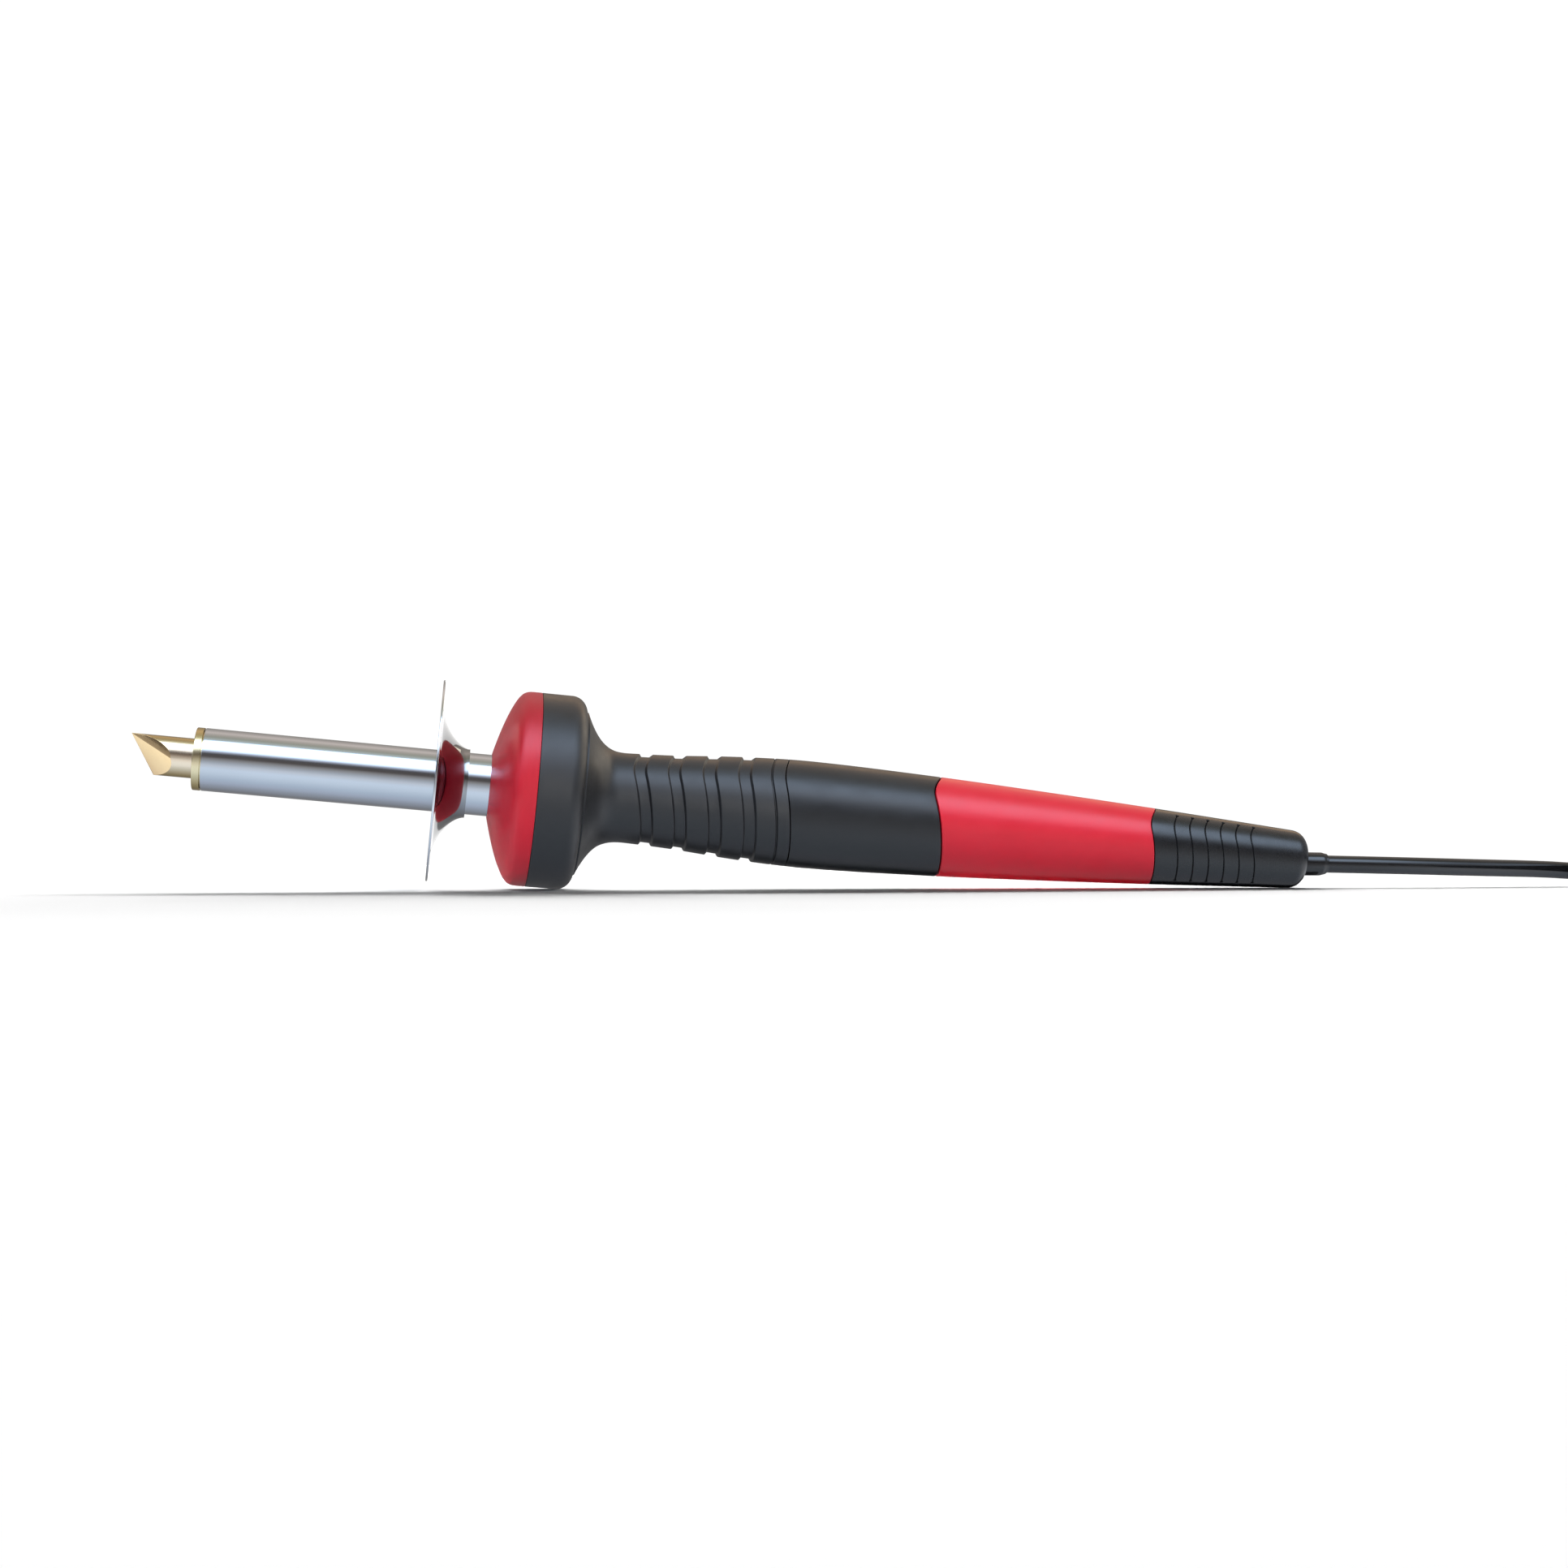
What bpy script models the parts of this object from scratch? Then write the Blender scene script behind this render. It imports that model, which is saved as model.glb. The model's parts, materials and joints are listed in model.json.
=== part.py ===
"""A mains soldering iron for stained glass work, with its cord, as separate pieces.

The iron is designed along its own axis: u runs from the point of the tip to the tail, and every turned
piece is an outline of (u, r) stations spun round that axis. One parent empty then lays the whole iron down
on its nose ring and its tail, tip towards -X, on the surface z = 0. Sizes below are in millimetres.
"""

import math

import bmesh
import bpy
from mathutils import Vector

MM = 0.001

# Plastics
RED = (0.66, 0.04, 0.07)
BLACK = (0.035, 0.037, 0.043)
RUBBER = (0.031, 0.032, 0.037)

# Clearances
GAP = 0.3  # between pieces that touch or rest on each other
RUNNING = 0.08  # radial, round a piece that slides

# Facets round a turned piece
FINE = 40
PLAIN = 24
SMALL = 16

# Tip, a 3/8 inch shank whose point is cut by two facets on each side
TIP_R = 4.76
TIP_BACK = 66.0
FACETS = [(0.709, 0.434), (0.532, 0.106)]  # half width = a * u - b * depth below the top line

# Barrel and the bush in its mouth
BARREL_R = 7.5
BARREL_BORE = 7.0
RING_FRONT = 15.15
RING_BACK = 16.9
BARREL_BACK = 103.2
BUSH_R = BARREL_BORE - GAP
BUSH_BORE = TIP_R + RUNNING
BUSH_BACK = 34.0

# Set screw, across the barrel on its far side
SET_SCREW_U = 25.0
SET_SCREW_R = 2.0
SET_SCREW_LENGTH = 4.0
SOCKET_R = 1.15
SOCKET_DEPTH = 1.8

# Heater round the tip's shank
FORMER_R = 5.5
FORMER_BORE = TIP_R + GAP
FORMER_BACK = 84.0
WIRE_R = 0.2
WINDING_R = FORMER_R + GAP + WIRE_R
WINDING_FRONT = 38.0
WINDING_PITCH = 5.6
WINDING_TURNS = 7
MICA_BORE = WINDING_R + WIRE_R + GAP
MICA_R = BARREL_BORE - GAP
BEAD_BACK = 90.0
BEAD_R = BARREL_BORE - GAP

# Heat guard, a pressed disc with a drawn collar on the handle's side
GUARD_U = 71.55
GUARD_SHEET = 0.55
GUARD_R = 24.4
COLLAR_BORE = BARREL_R + GAP
COLLAR_LENGTH = 7.85
COLLAR_RISE = 10.2
COLLAR_CURVE = 1.25  # over 1, the quarter circle of the flare is drawn in
COLLAR_STEPS = 8

# Nose: cone cover, barrel flange and its screws
COVER_FRONT = 84.75
COVER_BACK = 95.4
NOSE_R = 23.7
COVER_WALL = 1.8
COVER_STATIONS = (0.0, 0.9, 2.1, 3.4, 4.6, 5.3)
COVER_RIM = [(90.8, 22.95), (91.6, 23.4), (92.6, 23.66), (93.4, 23.7)]
COVER_INSIDE = [(93.0, 21.9), (91.6, 21.0), (89.4, 17.2), (87.4, 11.5)]
COVER_MOUTH = 86.4
FLANGE_R = 19.0
FLANGE_SHEET = 1.0
FLANGE_BACK = COVER_BACK
SCREW_CIRCLE_R = 14.0
SCREW_R = 1.3
SCREW_HEAD_R = 2.8
SCREW_HEAD = 1.8
SCREW_LENGTH = 8.2
SCREW_SLOT = (1.4, 0.7, 3.1)
SCREWS = 3

# Handle: outer radius at stations along it, and where its pieces part
NOSE_FRONT = COVER_BACK + GAP
NOSE_EDGE = 102.8
NOSE_ROUND = 3.8
WEB_BACK = 103.5
GRIP_FRONT = 106.9
GRIP_BLEND = 10.5
GRIP_WAIST_R = 11.0
GRIP_RISE = 9.2
GRIP_CURVE = 2.75
GRIP_STATIONS = (0.3, 1.1, 2.1, 3.3, 4.8, 6.6, 8.6)
GRIP_BORE = BARREL_R + 0.5
HANDLE = [(117.4, 11.0), (128.2, 11.47), (145.5, 12.75), (163.0, 13.33), (195.0, 12.53),
          (225.0, 11.21), (255.0, 9.64), (288.0, 7.65), (290.1, 7.504)]
BANDS = [(120.5, 123.8), (128.8, 132.1), (137.25, 140.75), (145.9, 149.3)]
BAND_DEPTH = 0.72
BAND_WALL = 0.45
THIN_LINE = 154.2
THIN_HALF = 0.25
THIN_DEPTH = 0.35
PART_1 = 157.6  # grip to middle shell
PART_2 = 196.6  # middle shell to red sleeve
PART_3 = 253.2  # red sleeve to rear shell
TAIL_ROUND = 3.6  # along the axis
TAIL_ROUND_IN = 3.0  # towards the axis
TAIL_BACK = 293.7
TAIL_HOLE_R = 3.4
POCKET_R = 5.05
POCKET_BACK = 290.7
MIDDLE_STATIONS = (163.0, 170.0, 178.0, 187.0)
RED_STATIONS = (205.0, 215.0, 227.0, 240.0)
TAIL_STATION = 285.0

# Thin lines round the sides of the rear shell, which stop short of its top and bottom
REAR_LINES = [259.4 + 4.17 * k for k in range(6)]
REAR_LINE_FROM = math.radians(35)
REAR_LINE_TO = math.radians(153)

# Inner core that the handle's pieces slide on
CORE_FRONT = 104.0
CORE_TAPER = 240.0
CORE_BACK = 284.0
CORE_R = 8.6
CORE_BACK_R = 5.9
CORE_WALL = 1.5

# The wavy part lines: (u, kink angle, drop at the kink, rise at the bottom, roundness)
WAVES = [
    (112.0, 54.0, 0.0, 0.0, 1.0),
    (120.5, 54.0, 2.0, 1.6, 1.0),
    (157.6, 54.0, 2.0, 1.1, 1.0),
    (196.6, 52.0, 3.3, 0.9, 0.4),
    (253.2, 62.0, 3.3, 0.0, 0.0),
    (281.0, 62.0, 3.3, 0.0, 0.0),
    (284.3, 62.0, 0.0, 0.0, 0.0),
]

# Wiring
LEAD_R = 0.5
LEAD_OFFSET = 2.6
SLEEVE_R = 1.2
SLEEVE_BACK = 150.0
SPLICE_FRONT = 224.0
SPLICE_BACK = 236.0
SPLICE_R = 2.0
SPLICE_OFFSET = 3.4
CONDUCTOR_R = 0.9
CONDUCTOR_OFFSET = 1.15

# Cord, its strain relief and its clamp
CORD_R = 2.25
CORD_INNER_FRONT = 262.0
RELIEF_BORE = CORD_R + GAP
RELIEF_FRONT = 270.0
RELIEF_BACK = 300.5
RELIEF_OUTSIDE = [(270.0, 3.9), (287.1, 3.5), (287.1, 4.65), (289.4, 4.65), (289.4, 3.2), (290.4, 3.06),
                  (299.2, 3.02), (300.0, 2.78), (300.5, 2.7)]
# how far the cord's way out lies off the iron's axis: it droops in the tail and comes out nearly level
DROOP = [(262.0, 0.0), (270.0, 0.0), (279.0, -0.45), (287.1, -0.95), (293.7, -0.95), (300.8, -0.45)]
DROOP_STEP = 3.0
CLAMP_FRONT = 264.0
CLAMP_BACK = 268.0
CLAMP_R = 4.9
CLAMP_SCREW_R = 0.9
CLAMP_HOLE_DEPTH = 8.0

# Resting pose: the nose's rear edge and the tail both touch the surface
TILT = math.atan((NOSE_R - HANDLE[-1][1]) / (HANDLE[-1][0] - NOSE_EDGE))
AXIS_Z = NOSE_EDGE * math.sin(TILT) + NOSE_R * math.cos(TILT)
AXIS_X = -147.262  # within a millimetre, the iron's middle is over the origin

# Coil of spare cord, lying beyond the end of the straight stretch
TURN = 4.6
COIL_X = 250.0
COIL_R = 26.0
COIL_HALF = 1.5 * TURN
CORD_Y = 10.8  # how far behind the iron's middle the cord enters and leaves the coil
COIL_Y = CORD_Y - COIL_R - TURN
COIL_Z = 1.2
COIL_CHAMFER = 1.6
COIL_ENTRY = 17.4  # how far from the coil's middle the tube meets its side
TIE_SHEET = 0.9
TIE_WIDTH = 6.0
TIE_SLACK = 0.3  # the turns curve a little inside the straight strap

# Plug, with two flat blades and an earth pin
PLUG_LEAD_Z = 12.6
PLUG_RELIEF_X = COIL_X + 24.0
PLUG_RELIEF_LENGTH = 26.0
PLUG_RELIEF_ENDS = (3.3, 5.4)
PLUG_X = PLUG_RELIEF_X + PLUG_RELIEF_LENGTH + GAP
PLUG_SIZE = (33.0, 27.0, 25.0)
PLUG_BEVEL = 3.5
BLADE = (16.0, 1.5, 6.3)
BLADE_Y = 6.35
BLADE_Z = 16.0
PIN_R = 2.4
PIN_LENGTH = 19.0
PIN_DROP = 11.9

# The cord's own way from its exit to the coil: (distance along X, Y, height of its middle)
EXIT_U = RELIEF_BACK + GAP
EXIT_UP = DROOP[-1][1]
EXIT_FALL = 0.02  # slope of the cord where it comes out
EXIT_STRAIGHT = 4.0
CORD_ROUTE = [(17.0, 0.6, 5.76), (32.0, 2.9, 5.42), (48.0, 6.3, 5.05), (64.0, 9.4, 4.68)]
LANDING = 6.0  # the last stretch before the coil, where the cord comes down
LANDING_RISE = 0.7
CORD_STEP = 10.0


# ---------------------------------------------------------------- helpers

def clear_scene():
    for obj in list(bpy.data.objects):
        bpy.data.objects.remove(obj, do_unlink=True)


def material(name, color, roughness, metallic=0.0):
    mat = bpy.data.materials.new(name)
    mat.use_nodes = True
    shader = mat.node_tree.nodes["Principled BSDF"]
    shader.inputs["Base Color"].default_value = (*color, 1.0)
    shader.inputs["Roughness"].default_value = roughness
    shader.inputs["Metallic"].default_value = metallic
    mat.diffuse_color = (*color, 1.0)
    return mat


def add_object(name, bm, mat, parent=None, location=(0.0, 0.0, 0.0)):
    """A bmesh in metres becomes a smooth-shaded object; its normals point out."""
    bmesh.ops.recalc_face_normals(bm, faces=bm.faces)
    mesh = bpy.data.meshes.new(name)
    bm.to_mesh(mesh)
    bm.free()
    mesh.shade_smooth()
    mesh.set_sharp_from_angle(angle=math.radians(35))
    obj = bpy.data.objects.new(name, mesh)
    bpy.context.collection.objects.link(obj)
    if mat is not None:
        obj.data.materials.append(mat)
    obj.parent = parent
    obj.location = Vector(location) * MM
    return obj


def smooth_value(stations, at):
    """A smooth curve through (place, value) stations, with slopes from their neighbours."""
    last = len(stations) - 2
    k = next((i for i in range(last) if at < stations[i + 1][0]), last)

    def slope(i):
        a, b = stations[max(i - 1, 0)], stations[min(i + 1, last + 1)]
        return (b[1] - a[1]) / (b[0] - a[0])

    (x0, y0), (x1, y1) = stations[k], stations[k + 1]
    width = x1 - x0
    t = (at - x0) / width
    return (
        y0 * (2 * t**3 - 3 * t**2 + 1)
        + y1 * (3 * t**2 - 2 * t**3)
        + slope(k) * width * (t**3 - 2 * t**2 + t)
        + slope(k + 1) * width * (t**3 - t**2)
    )


def handle_r(u):
    return smooth_value(HANDLE, u)


def wave_of(angle, kink, drop, rise, roundness):
    """How far a part line lies towards the tail at an angle (degrees) from the top."""
    if angle < kink:
        return -drop * math.sin(math.pi / 2 * angle / kink) ** 2
    t = (angle - kink) / (180.0 - kink)
    share = (1 - roundness) * t + roundness * math.sin(math.pi / 2 * t)
    return -drop + (drop + rise) * share


def wave_shift(u, angle):
    """The same, anywhere along the handle: the lines' own waves blend into each other."""
    if u <= WAVES[0][0] or u >= WAVES[-1][0]:
        return 0.0
    k = next(i for i in range(len(WAVES) - 1) if u < WAVES[i + 1][0])
    low, high = WAVES[k], WAVES[k + 1]
    t = (u - low[0]) / (high[0] - low[0])
    return (1 - t) * wave_of(angle, *low[1:]) + t * wave_of(angle, *high[1:])


def spun(outline, segments, closed=True):
    """A bmesh of an outline of (u, r) stations spun round the X axis."""
    bm = bmesh.new()
    verts = [bm.verts.new((u * MM, 0.0, r * MM)) for u, r in outline]
    ends = verts[1:] + verts[:1] if closed else verts[1:]
    edges = [bm.edges.new(pair) for pair in zip(verts, ends)]
    bmesh.ops.spin(bm, geom=verts + edges, cent=(0, 0, 0), axis=(1, 0, 0),
                   angle=2 * math.pi, steps=segments, use_merge=True)
    bmesh.ops.remove_doubles(bm, verts=bm.verts, dist=1e-7)
    return bm


def wavy(bm, lines=()):
    """Shifts a spun piece along its axis by the wave, with thin lines cut into its sides.

    The bore keeps its clearance to the tapered core wherever its rim moves to.
    """
    for v in bm.verts:
        u, r = v.co.x / MM, math.hypot(v.co.y, v.co.z) / MM
        angle = math.atan2(abs(v.co.y), v.co.z)
        shift = wave_shift(u, math.degrees(angle))
        on_line = any(abs(u - line) < THIN_HALF / 2 for line in lines)
        new_r = r
        if shift and r < handle_r(u) - 1.0:
            new_r = bore_r(u + shift)
        elif on_line and REAR_LINE_FROM <= angle <= REAR_LINE_TO:
            new_r = r - THIN_DEPTH
        v.co = Vector((v.co.x + shift * MM, v.co.y * new_r / r, v.co.z * new_r / r))
    return bm


def drooped(bm):
    """Moves a piece's stations off the axis by the cord's droop."""
    for v in bm.verts:
        v.co.z += smooth_value(DROOP, v.co.x / MM) * MM
    return bm


def stepped(points, longest):
    """The outline with stations added so that none of its steps along the axis is longer."""
    out = []
    for (u0, r0), (u1, r1) in zip(points, points[1:]):
        count = max(1, math.ceil(abs(u1 - u0) / longest))
        out += [(u0 + (u1 - u0) * k / count, r0 + (r1 - r0) * k / count) for k in range(count)]
    return out + [points[-1]]


def turned(name, outline, mat, parent, segments=PLAIN, **kw):
    return add_object(name, spun(outline, segments), mat, parent, **kw)


def rod_bmesh(front, back, radius, segments=SMALL):
    """A solid round bar along X."""
    return spun([(front, 0.0), (front, radius), (back, radius), (back, 0.0)], segments, closed=False)


def cutter(target, name, bm, parent=None, location=(0.0, 0.0, 0.0)):
    """Cuts a closed bmesh out of a piece with an exact Boolean, and keeps the cutter as a guide."""
    guide = add_object(name, bm, None, parent, location)
    guide.hide_render = True
    guide.display_type = "WIRE"
    cut = target.modifiers.new(name, "BOOLEAN")
    cut.operation = "DIFFERENCE"
    cut.solver = "EXACT"
    cut.object = guide
    return guide


def box_bmesh(size, centre, bevel=0.0):
    block = bmesh.new()
    bmesh.ops.create_cube(block, size=1.0)
    bmesh.ops.scale(block, vec=Vector(size) * MM, verts=block.verts)
    bmesh.ops.translate(block, vec=Vector(centre) * MM, verts=block.verts)
    if bevel:
        bmesh.ops.bevel(block, geom=block.edges[:], offset=bevel * MM, segments=2, profile=0.5,
                        affect="EDGES")
    return block


def tube_along(name, points, radius, mat, parent=None, sides=2):
    """A round wire or cord: a poly curve through points (mm) with a round bevel and filled caps."""
    curve = bpy.data.curves.new(name, "CURVE")
    curve.dimensions = "3D"
    curve.bevel_depth = radius * MM
    curve.bevel_resolution = sides
    curve.use_fill_caps = True
    spline = curve.splines.new("POLY")
    spline.points.add(len(points) - 1)
    for place, p in zip(spline.points, points):
        place.co = (*(Vector(p) * MM), 1.0)
    obj = bpy.data.objects.new(name, curve)
    bpy.context.collection.objects.link(obj)
    curve.materials.append(mat)
    obj.parent = parent
    return obj


def smooth_path(points, step):
    """Points about step apart on a smooth curve through the given points."""
    along = [0.0]
    for a, b in zip(points, points[1:]):
        along.append(along[-1] + (Vector(b) - Vector(a)).length)
    count = max(2, round(along[-1] / step) + 1)
    places = [along[-1] * i / (count - 1) for i in range(count)]
    return [
        tuple(smooth_value([(s, p[k]) for s, p in zip(along, points)], at) for k in range(3))
        for at in places
    ]


def on_axis(u, up=0.0):
    """The world point (mm) at station u, a height above the iron's axis."""
    return (
        AXIS_X + u * math.cos(TILT) + up * math.sin(TILT),
        0.0,
        AXIS_Z - u * math.sin(TILT) + up * math.cos(TILT),
    )


# ---------------------------------------------------------------- tip, bush and barrel

def make_tip(axis):
    """A round bar whose point is left by four slanting planes, its apex on the top line."""
    bm = rod_bmesh(0.0, TIP_BACK, TIP_R, segments=FINE)
    for a, b in FACETS:
        for side in (-1, 1):
            # kept where side * y <= a * u - b * (TIP_R - z)
            normal = Vector((-a, side, -b))
            cut = bmesh.ops.bisect_plane(
                bm, geom=bm.verts[:] + bm.edges[:] + bm.faces[:], dist=1e-7,
                plane_co=Vector((0.0, 0.0, TIP_R)) * MM, plane_no=normal, clear_outer=True)
            rim = [g for g in cut["geom_cut"] if isinstance(g, bmesh.types.BMEdge)]
            bmesh.ops.edgenet_fill(bm, edges=rim)
    bmesh.ops.remove_doubles(bm, verts=bm.verts, dist=1e-6)
    return add_object("soldering_tip", bm, material("plated_gold", (0.77, 0.62, 0.32), 0.22, 1.0), axis)


def screw_hole(name, target, axis):
    hole = rod_bmesh(0.0, 12.0, SET_SCREW_R + RUNNING, segments=SMALL)
    guide = cutter(target, name, hole, axis, (SET_SCREW_U, 0.0, 0.0))
    guide.rotation_euler = (0.0, 0.0, math.radians(90))


def make_bush(axis):
    outline = [(RING_FRONT, BUSH_BORE), (RING_FRONT, BARREL_R), (RING_BACK, BARREL_R),
               (RING_BACK, BUSH_R), (BUSH_BACK, BUSH_R), (BUSH_BACK, BUSH_BORE)]
    bush = turned("tip_bush", outline, material("plated_ring", (0.74, 0.6, 0.33), 0.25, 1.0), axis, FINE)
    screw_hole("bush_hole", bush, axis)


def make_set_screw(axis):
    """A socket set screw whose end bears on the side of the tip's shank."""
    front = TIP_R + GAP
    bm = rod_bmesh(front, front + SET_SCREW_LENGTH, SET_SCREW_R, segments=SMALL)
    screw = add_object("tip_set_screw", bm, material("screw_steel", (0.25, 0.25, 0.27), 0.35, 1.0),
                       axis, (SET_SCREW_U, 0.0, 0.0))
    screw.rotation_euler = (0.0, 0.0, math.radians(90))
    head = front + SET_SCREW_LENGTH
    socket = rod_bmesh(head - SOCKET_DEPTH, head + 1.0, SOCKET_R, segments=6)
    cutter(screw, "set_screw_socket", socket, screw)


def make_barrel(axis):
    outline = [(RING_BACK + GAP, BARREL_BORE), (RING_BACK + GAP, BARREL_R), (BARREL_BACK, BARREL_R),
               (BARREL_BACK, BARREL_BORE)]
    barrel = turned("barrel", outline, material("polished_steel", (0.8, 0.81, 0.83), 0.12, 1.0), axis, FINE)
    screw_hole("barrel_hole", barrel, axis)


# ---------------------------------------------------------------- heater

def make_heater(axis):
    ceramic = material("ceramic", (0.85, 0.83, 0.78), 0.7)
    mica = material("mica", (0.62, 0.55, 0.42), 0.5)
    wire = material("heater_wire", (0.4, 0.37, 0.34), 0.4, 1.0)
    front = BUSH_BACK + GAP
    turned("heater_former", [(front, FORMER_BORE), (front, FORMER_R), (FORMER_BACK, FORMER_R),
                             (FORMER_BACK, FORMER_BORE)], ceramic, axis)
    turned("mica_sleeve", [(front, MICA_BORE), (front, MICA_R), (FORMER_BACK, MICA_R),
                           (FORMER_BACK, MICA_BORE)], mica, axis)
    per_turn = 14
    helix = []
    for i in range(WINDING_TURNS * per_turn + 1):
        a = 2 * math.pi * i / per_turn
        u = WINDING_FRONT + WINDING_PITCH * i / per_turn
        helix.append((u, WINDING_R * math.sin(a), WINDING_R * math.cos(a)))
    tube_along("heater_winding", helix, WIRE_R, wire, axis, sides=0)
    bead = turned("end_insulator", [(FORMER_BACK + GAP, 0.6), (FORMER_BACK + GAP, BEAD_R),
                                    (BEAD_BACK, BEAD_R), (BEAD_BACK, 0.6)], ceramic, axis)
    for side, name in ((1, "bead_hole_live"), (-1, "bead_hole_neutral")):
        hole = rod_bmesh(FORMER_BACK - 1, BEAD_BACK + 1, LEAD_R + GAP, 12)
        cutter(bead, name, hole, axis, (0.0, side * LEAD_OFFSET, 0.0))


# ---------------------------------------------------------------- heat guard

def make_guard(axis):
    """A flat disc whose middle is drawn out into a collar that narrows onto the barrel."""
    back = GUARD_U + GUARD_SHEET
    reach = COLLAR_LENGTH - GUARD_SHEET
    steps = range(COLLAR_STEPS + 1)
    # a quarter of a superellipse, from the collar's end out to the disc
    flare = []
    for i in steps:
        a = math.pi / 2 * i / COLLAR_STEPS
        u = back + reach * (1 - math.sin(a) ** COLLAR_CURVE)
        r = COLLAR_BORE + COLLAR_RISE * (1 - math.cos(a) ** COLLAR_CURVE)
        flare.append((u, r))
    # the sheet's thickness turns from radial at the collar's end to axial at the disc
    share = [i / COLLAR_STEPS for i in steps]
    behind = [(u, r + GUARD_SHEET * (1 - t)) for t, (u, r) in zip(share, flare)]
    ahead = [(u - GUARD_SHEET * t, r) for t, (u, r) in zip(share, flare)]
    outline = behind + [(back, GUARD_R), (GUARD_U, GUARD_R)] + ahead[::-1]
    turned("heat_guard", outline, material("guard_steel", (0.78, 0.79, 0.8), 0.12, 1.0), axis, FINE)


# ---------------------------------------------------------------- nose

def cover_r(x):
    """The cone cover's outer radius x behind its front edge, up to its rounded rim."""
    return 7.95 + 3.9 * x - 0.2313 * x * x


def make_cover(axis):
    wall = [(COVER_FRONT + x, cover_r(x)) for x in COVER_STATIONS]
    rim = COVER_RIM + [(COVER_BACK, NOSE_R), (COVER_BACK, NOSE_R - COVER_WALL)]
    bore = [(COVER_MOUTH, COLLAR_BORE), (COVER_FRONT, COLLAR_BORE)]
    turned("front_cover", wall + rim + COVER_INSIDE + bore, material("red_plastic", RED, 0.38), axis, FINE)


def screw_places():
    for k in range(SCREWS):
        a = math.radians(90 + 360 / SCREWS * k)
        yield SCREW_CIRCLE_R * math.cos(a), SCREW_CIRCLE_R * math.sin(a)


def make_flange(axis):
    front = FLANGE_BACK - FLANGE_SHEET
    flange = turned("barrel_flange", [(front, COLLAR_BORE), (front, FLANGE_R), (FLANGE_BACK, FLANGE_R),
                                      (FLANGE_BACK, COLLAR_BORE)],
                    material("zinc_plate", (0.6, 0.61, 0.62), 0.35, 1.0), axis, FINE)
    zinc = material("screw_zinc", (0.62, 0.62, 0.6), 0.3, 1.0)
    head_front = front - GAP - SCREW_HEAD
    neck = head_front + SCREW_HEAD
    end = neck + SCREW_LENGTH
    for k, (y, z) in enumerate(screw_places(), start=1):
        hole = rod_bmesh(front - 1, FLANGE_BACK + 1, SCREW_R + GAP, 12)
        cutter(flange, f"flange_hole_{k}", hole, axis, (0.0, y, z))
        body = spun([(head_front, 0.0), (head_front, SCREW_HEAD_R), (neck, SCREW_HEAD_R), (neck, SCREW_R),
                     (end, SCREW_R), (end, 0.0)], 12, closed=False)
        screw = add_object(f"flange_screw_{k}", body, zinc, axis, (0.0, y, z))
        slot = box_bmesh(SCREW_SLOT, (head_front, 0.0, 0.0))
        cutter(screw, f"screw_slot_{k}", slot, screw)


# ---------------------------------------------------------------- handle

def core_r(u):
    """The core's outer radius, which tapers towards the tail."""
    t = max(0.0, (u - CORE_TAPER) / (CORE_BACK - CORE_TAPER))
    return CORE_R + (CORE_BACK_R - CORE_R) * t


def bore_r(u):
    return core_r(u) + GAP


def groove(u, half, depth):
    return [(u - half, handle_r(u - half)), (u, handle_r(u) - depth), (u + half, handle_r(u + half))]


def make_grip(axis):
    nose = [(NOSE_FRONT, NOSE_R)]
    for i in range(6):
        a = math.radians(18 * i)
        nose.append((NOSE_EDGE + NOSE_ROUND * math.sin(a), NOSE_R - NOSE_ROUND * (1 - math.cos(a))))
    waist = []
    for x in GRIP_STATIONS:
        waist.append((GRIP_FRONT + x, GRIP_WAIST_R + GRIP_RISE * (1 - x / GRIP_BLEND) ** GRIP_CURVE))
    bands = [(HANDLE[0][0], HANDLE[0][1])]
    for front, back in BANDS:
        bands += [
            (front, handle_r(front)),
            (front + BAND_WALL, handle_r(front + BAND_WALL) - BAND_DEPTH),
            (back - BAND_WALL, handle_r(back - BAND_WALL) - BAND_DEPTH),
            (back, handle_r(back)),
        ]
    end = PART_1 - GAP / 2
    tail = groove(THIN_LINE, THIN_HALF, THIN_DEPTH) + [(end, handle_r(end))]
    inside = [(end, bore_r(end)), (WEB_BACK, bore_r(end)), (WEB_BACK, GRIP_BORE),
              (NOSE_FRONT, GRIP_BORE)]
    bm = wavy(spun(nose + waist + bands + tail + inside, FINE))
    grip = add_object("front_grip", bm, material("black_plastic", BLACK, 0.42), axis)
    for k, (y, z) in enumerate(screw_places()):
        hole = rod_bmesh(NOSE_FRONT - 1, NOSE_FRONT + SCREW_LENGTH, SCREW_R + GAP, 12)
        cutter(grip, f"boss_hole_{k + 1}", hole, axis, (0.0, y, z))


def sleeve(name, front, back, stations, mat, axis):
    """A handle section between two part lines, with its bore on the core."""
    outside = [(u, handle_r(u)) for u in (front, *stations, back)]
    bend = [CORE_TAPER] if front < CORE_TAPER < back else []
    inside = [(u, bore_r(u)) for u in (back, *bend, front)]
    return add_object(name, wavy(spun(outside + inside, FINE)), mat, axis)


def make_sleeves(axis):
    half = GAP / 2
    sleeve("middle_shell", PART_1 + half, PART_2 - half, MIDDLE_STATIONS,
           material("black_smooth", BLACK, 0.36), axis)
    sleeve("red_sleeve", PART_2 + half, PART_3 - half, RED_STATIONS,
           material("red_smooth", RED, 0.34), axis)


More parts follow.
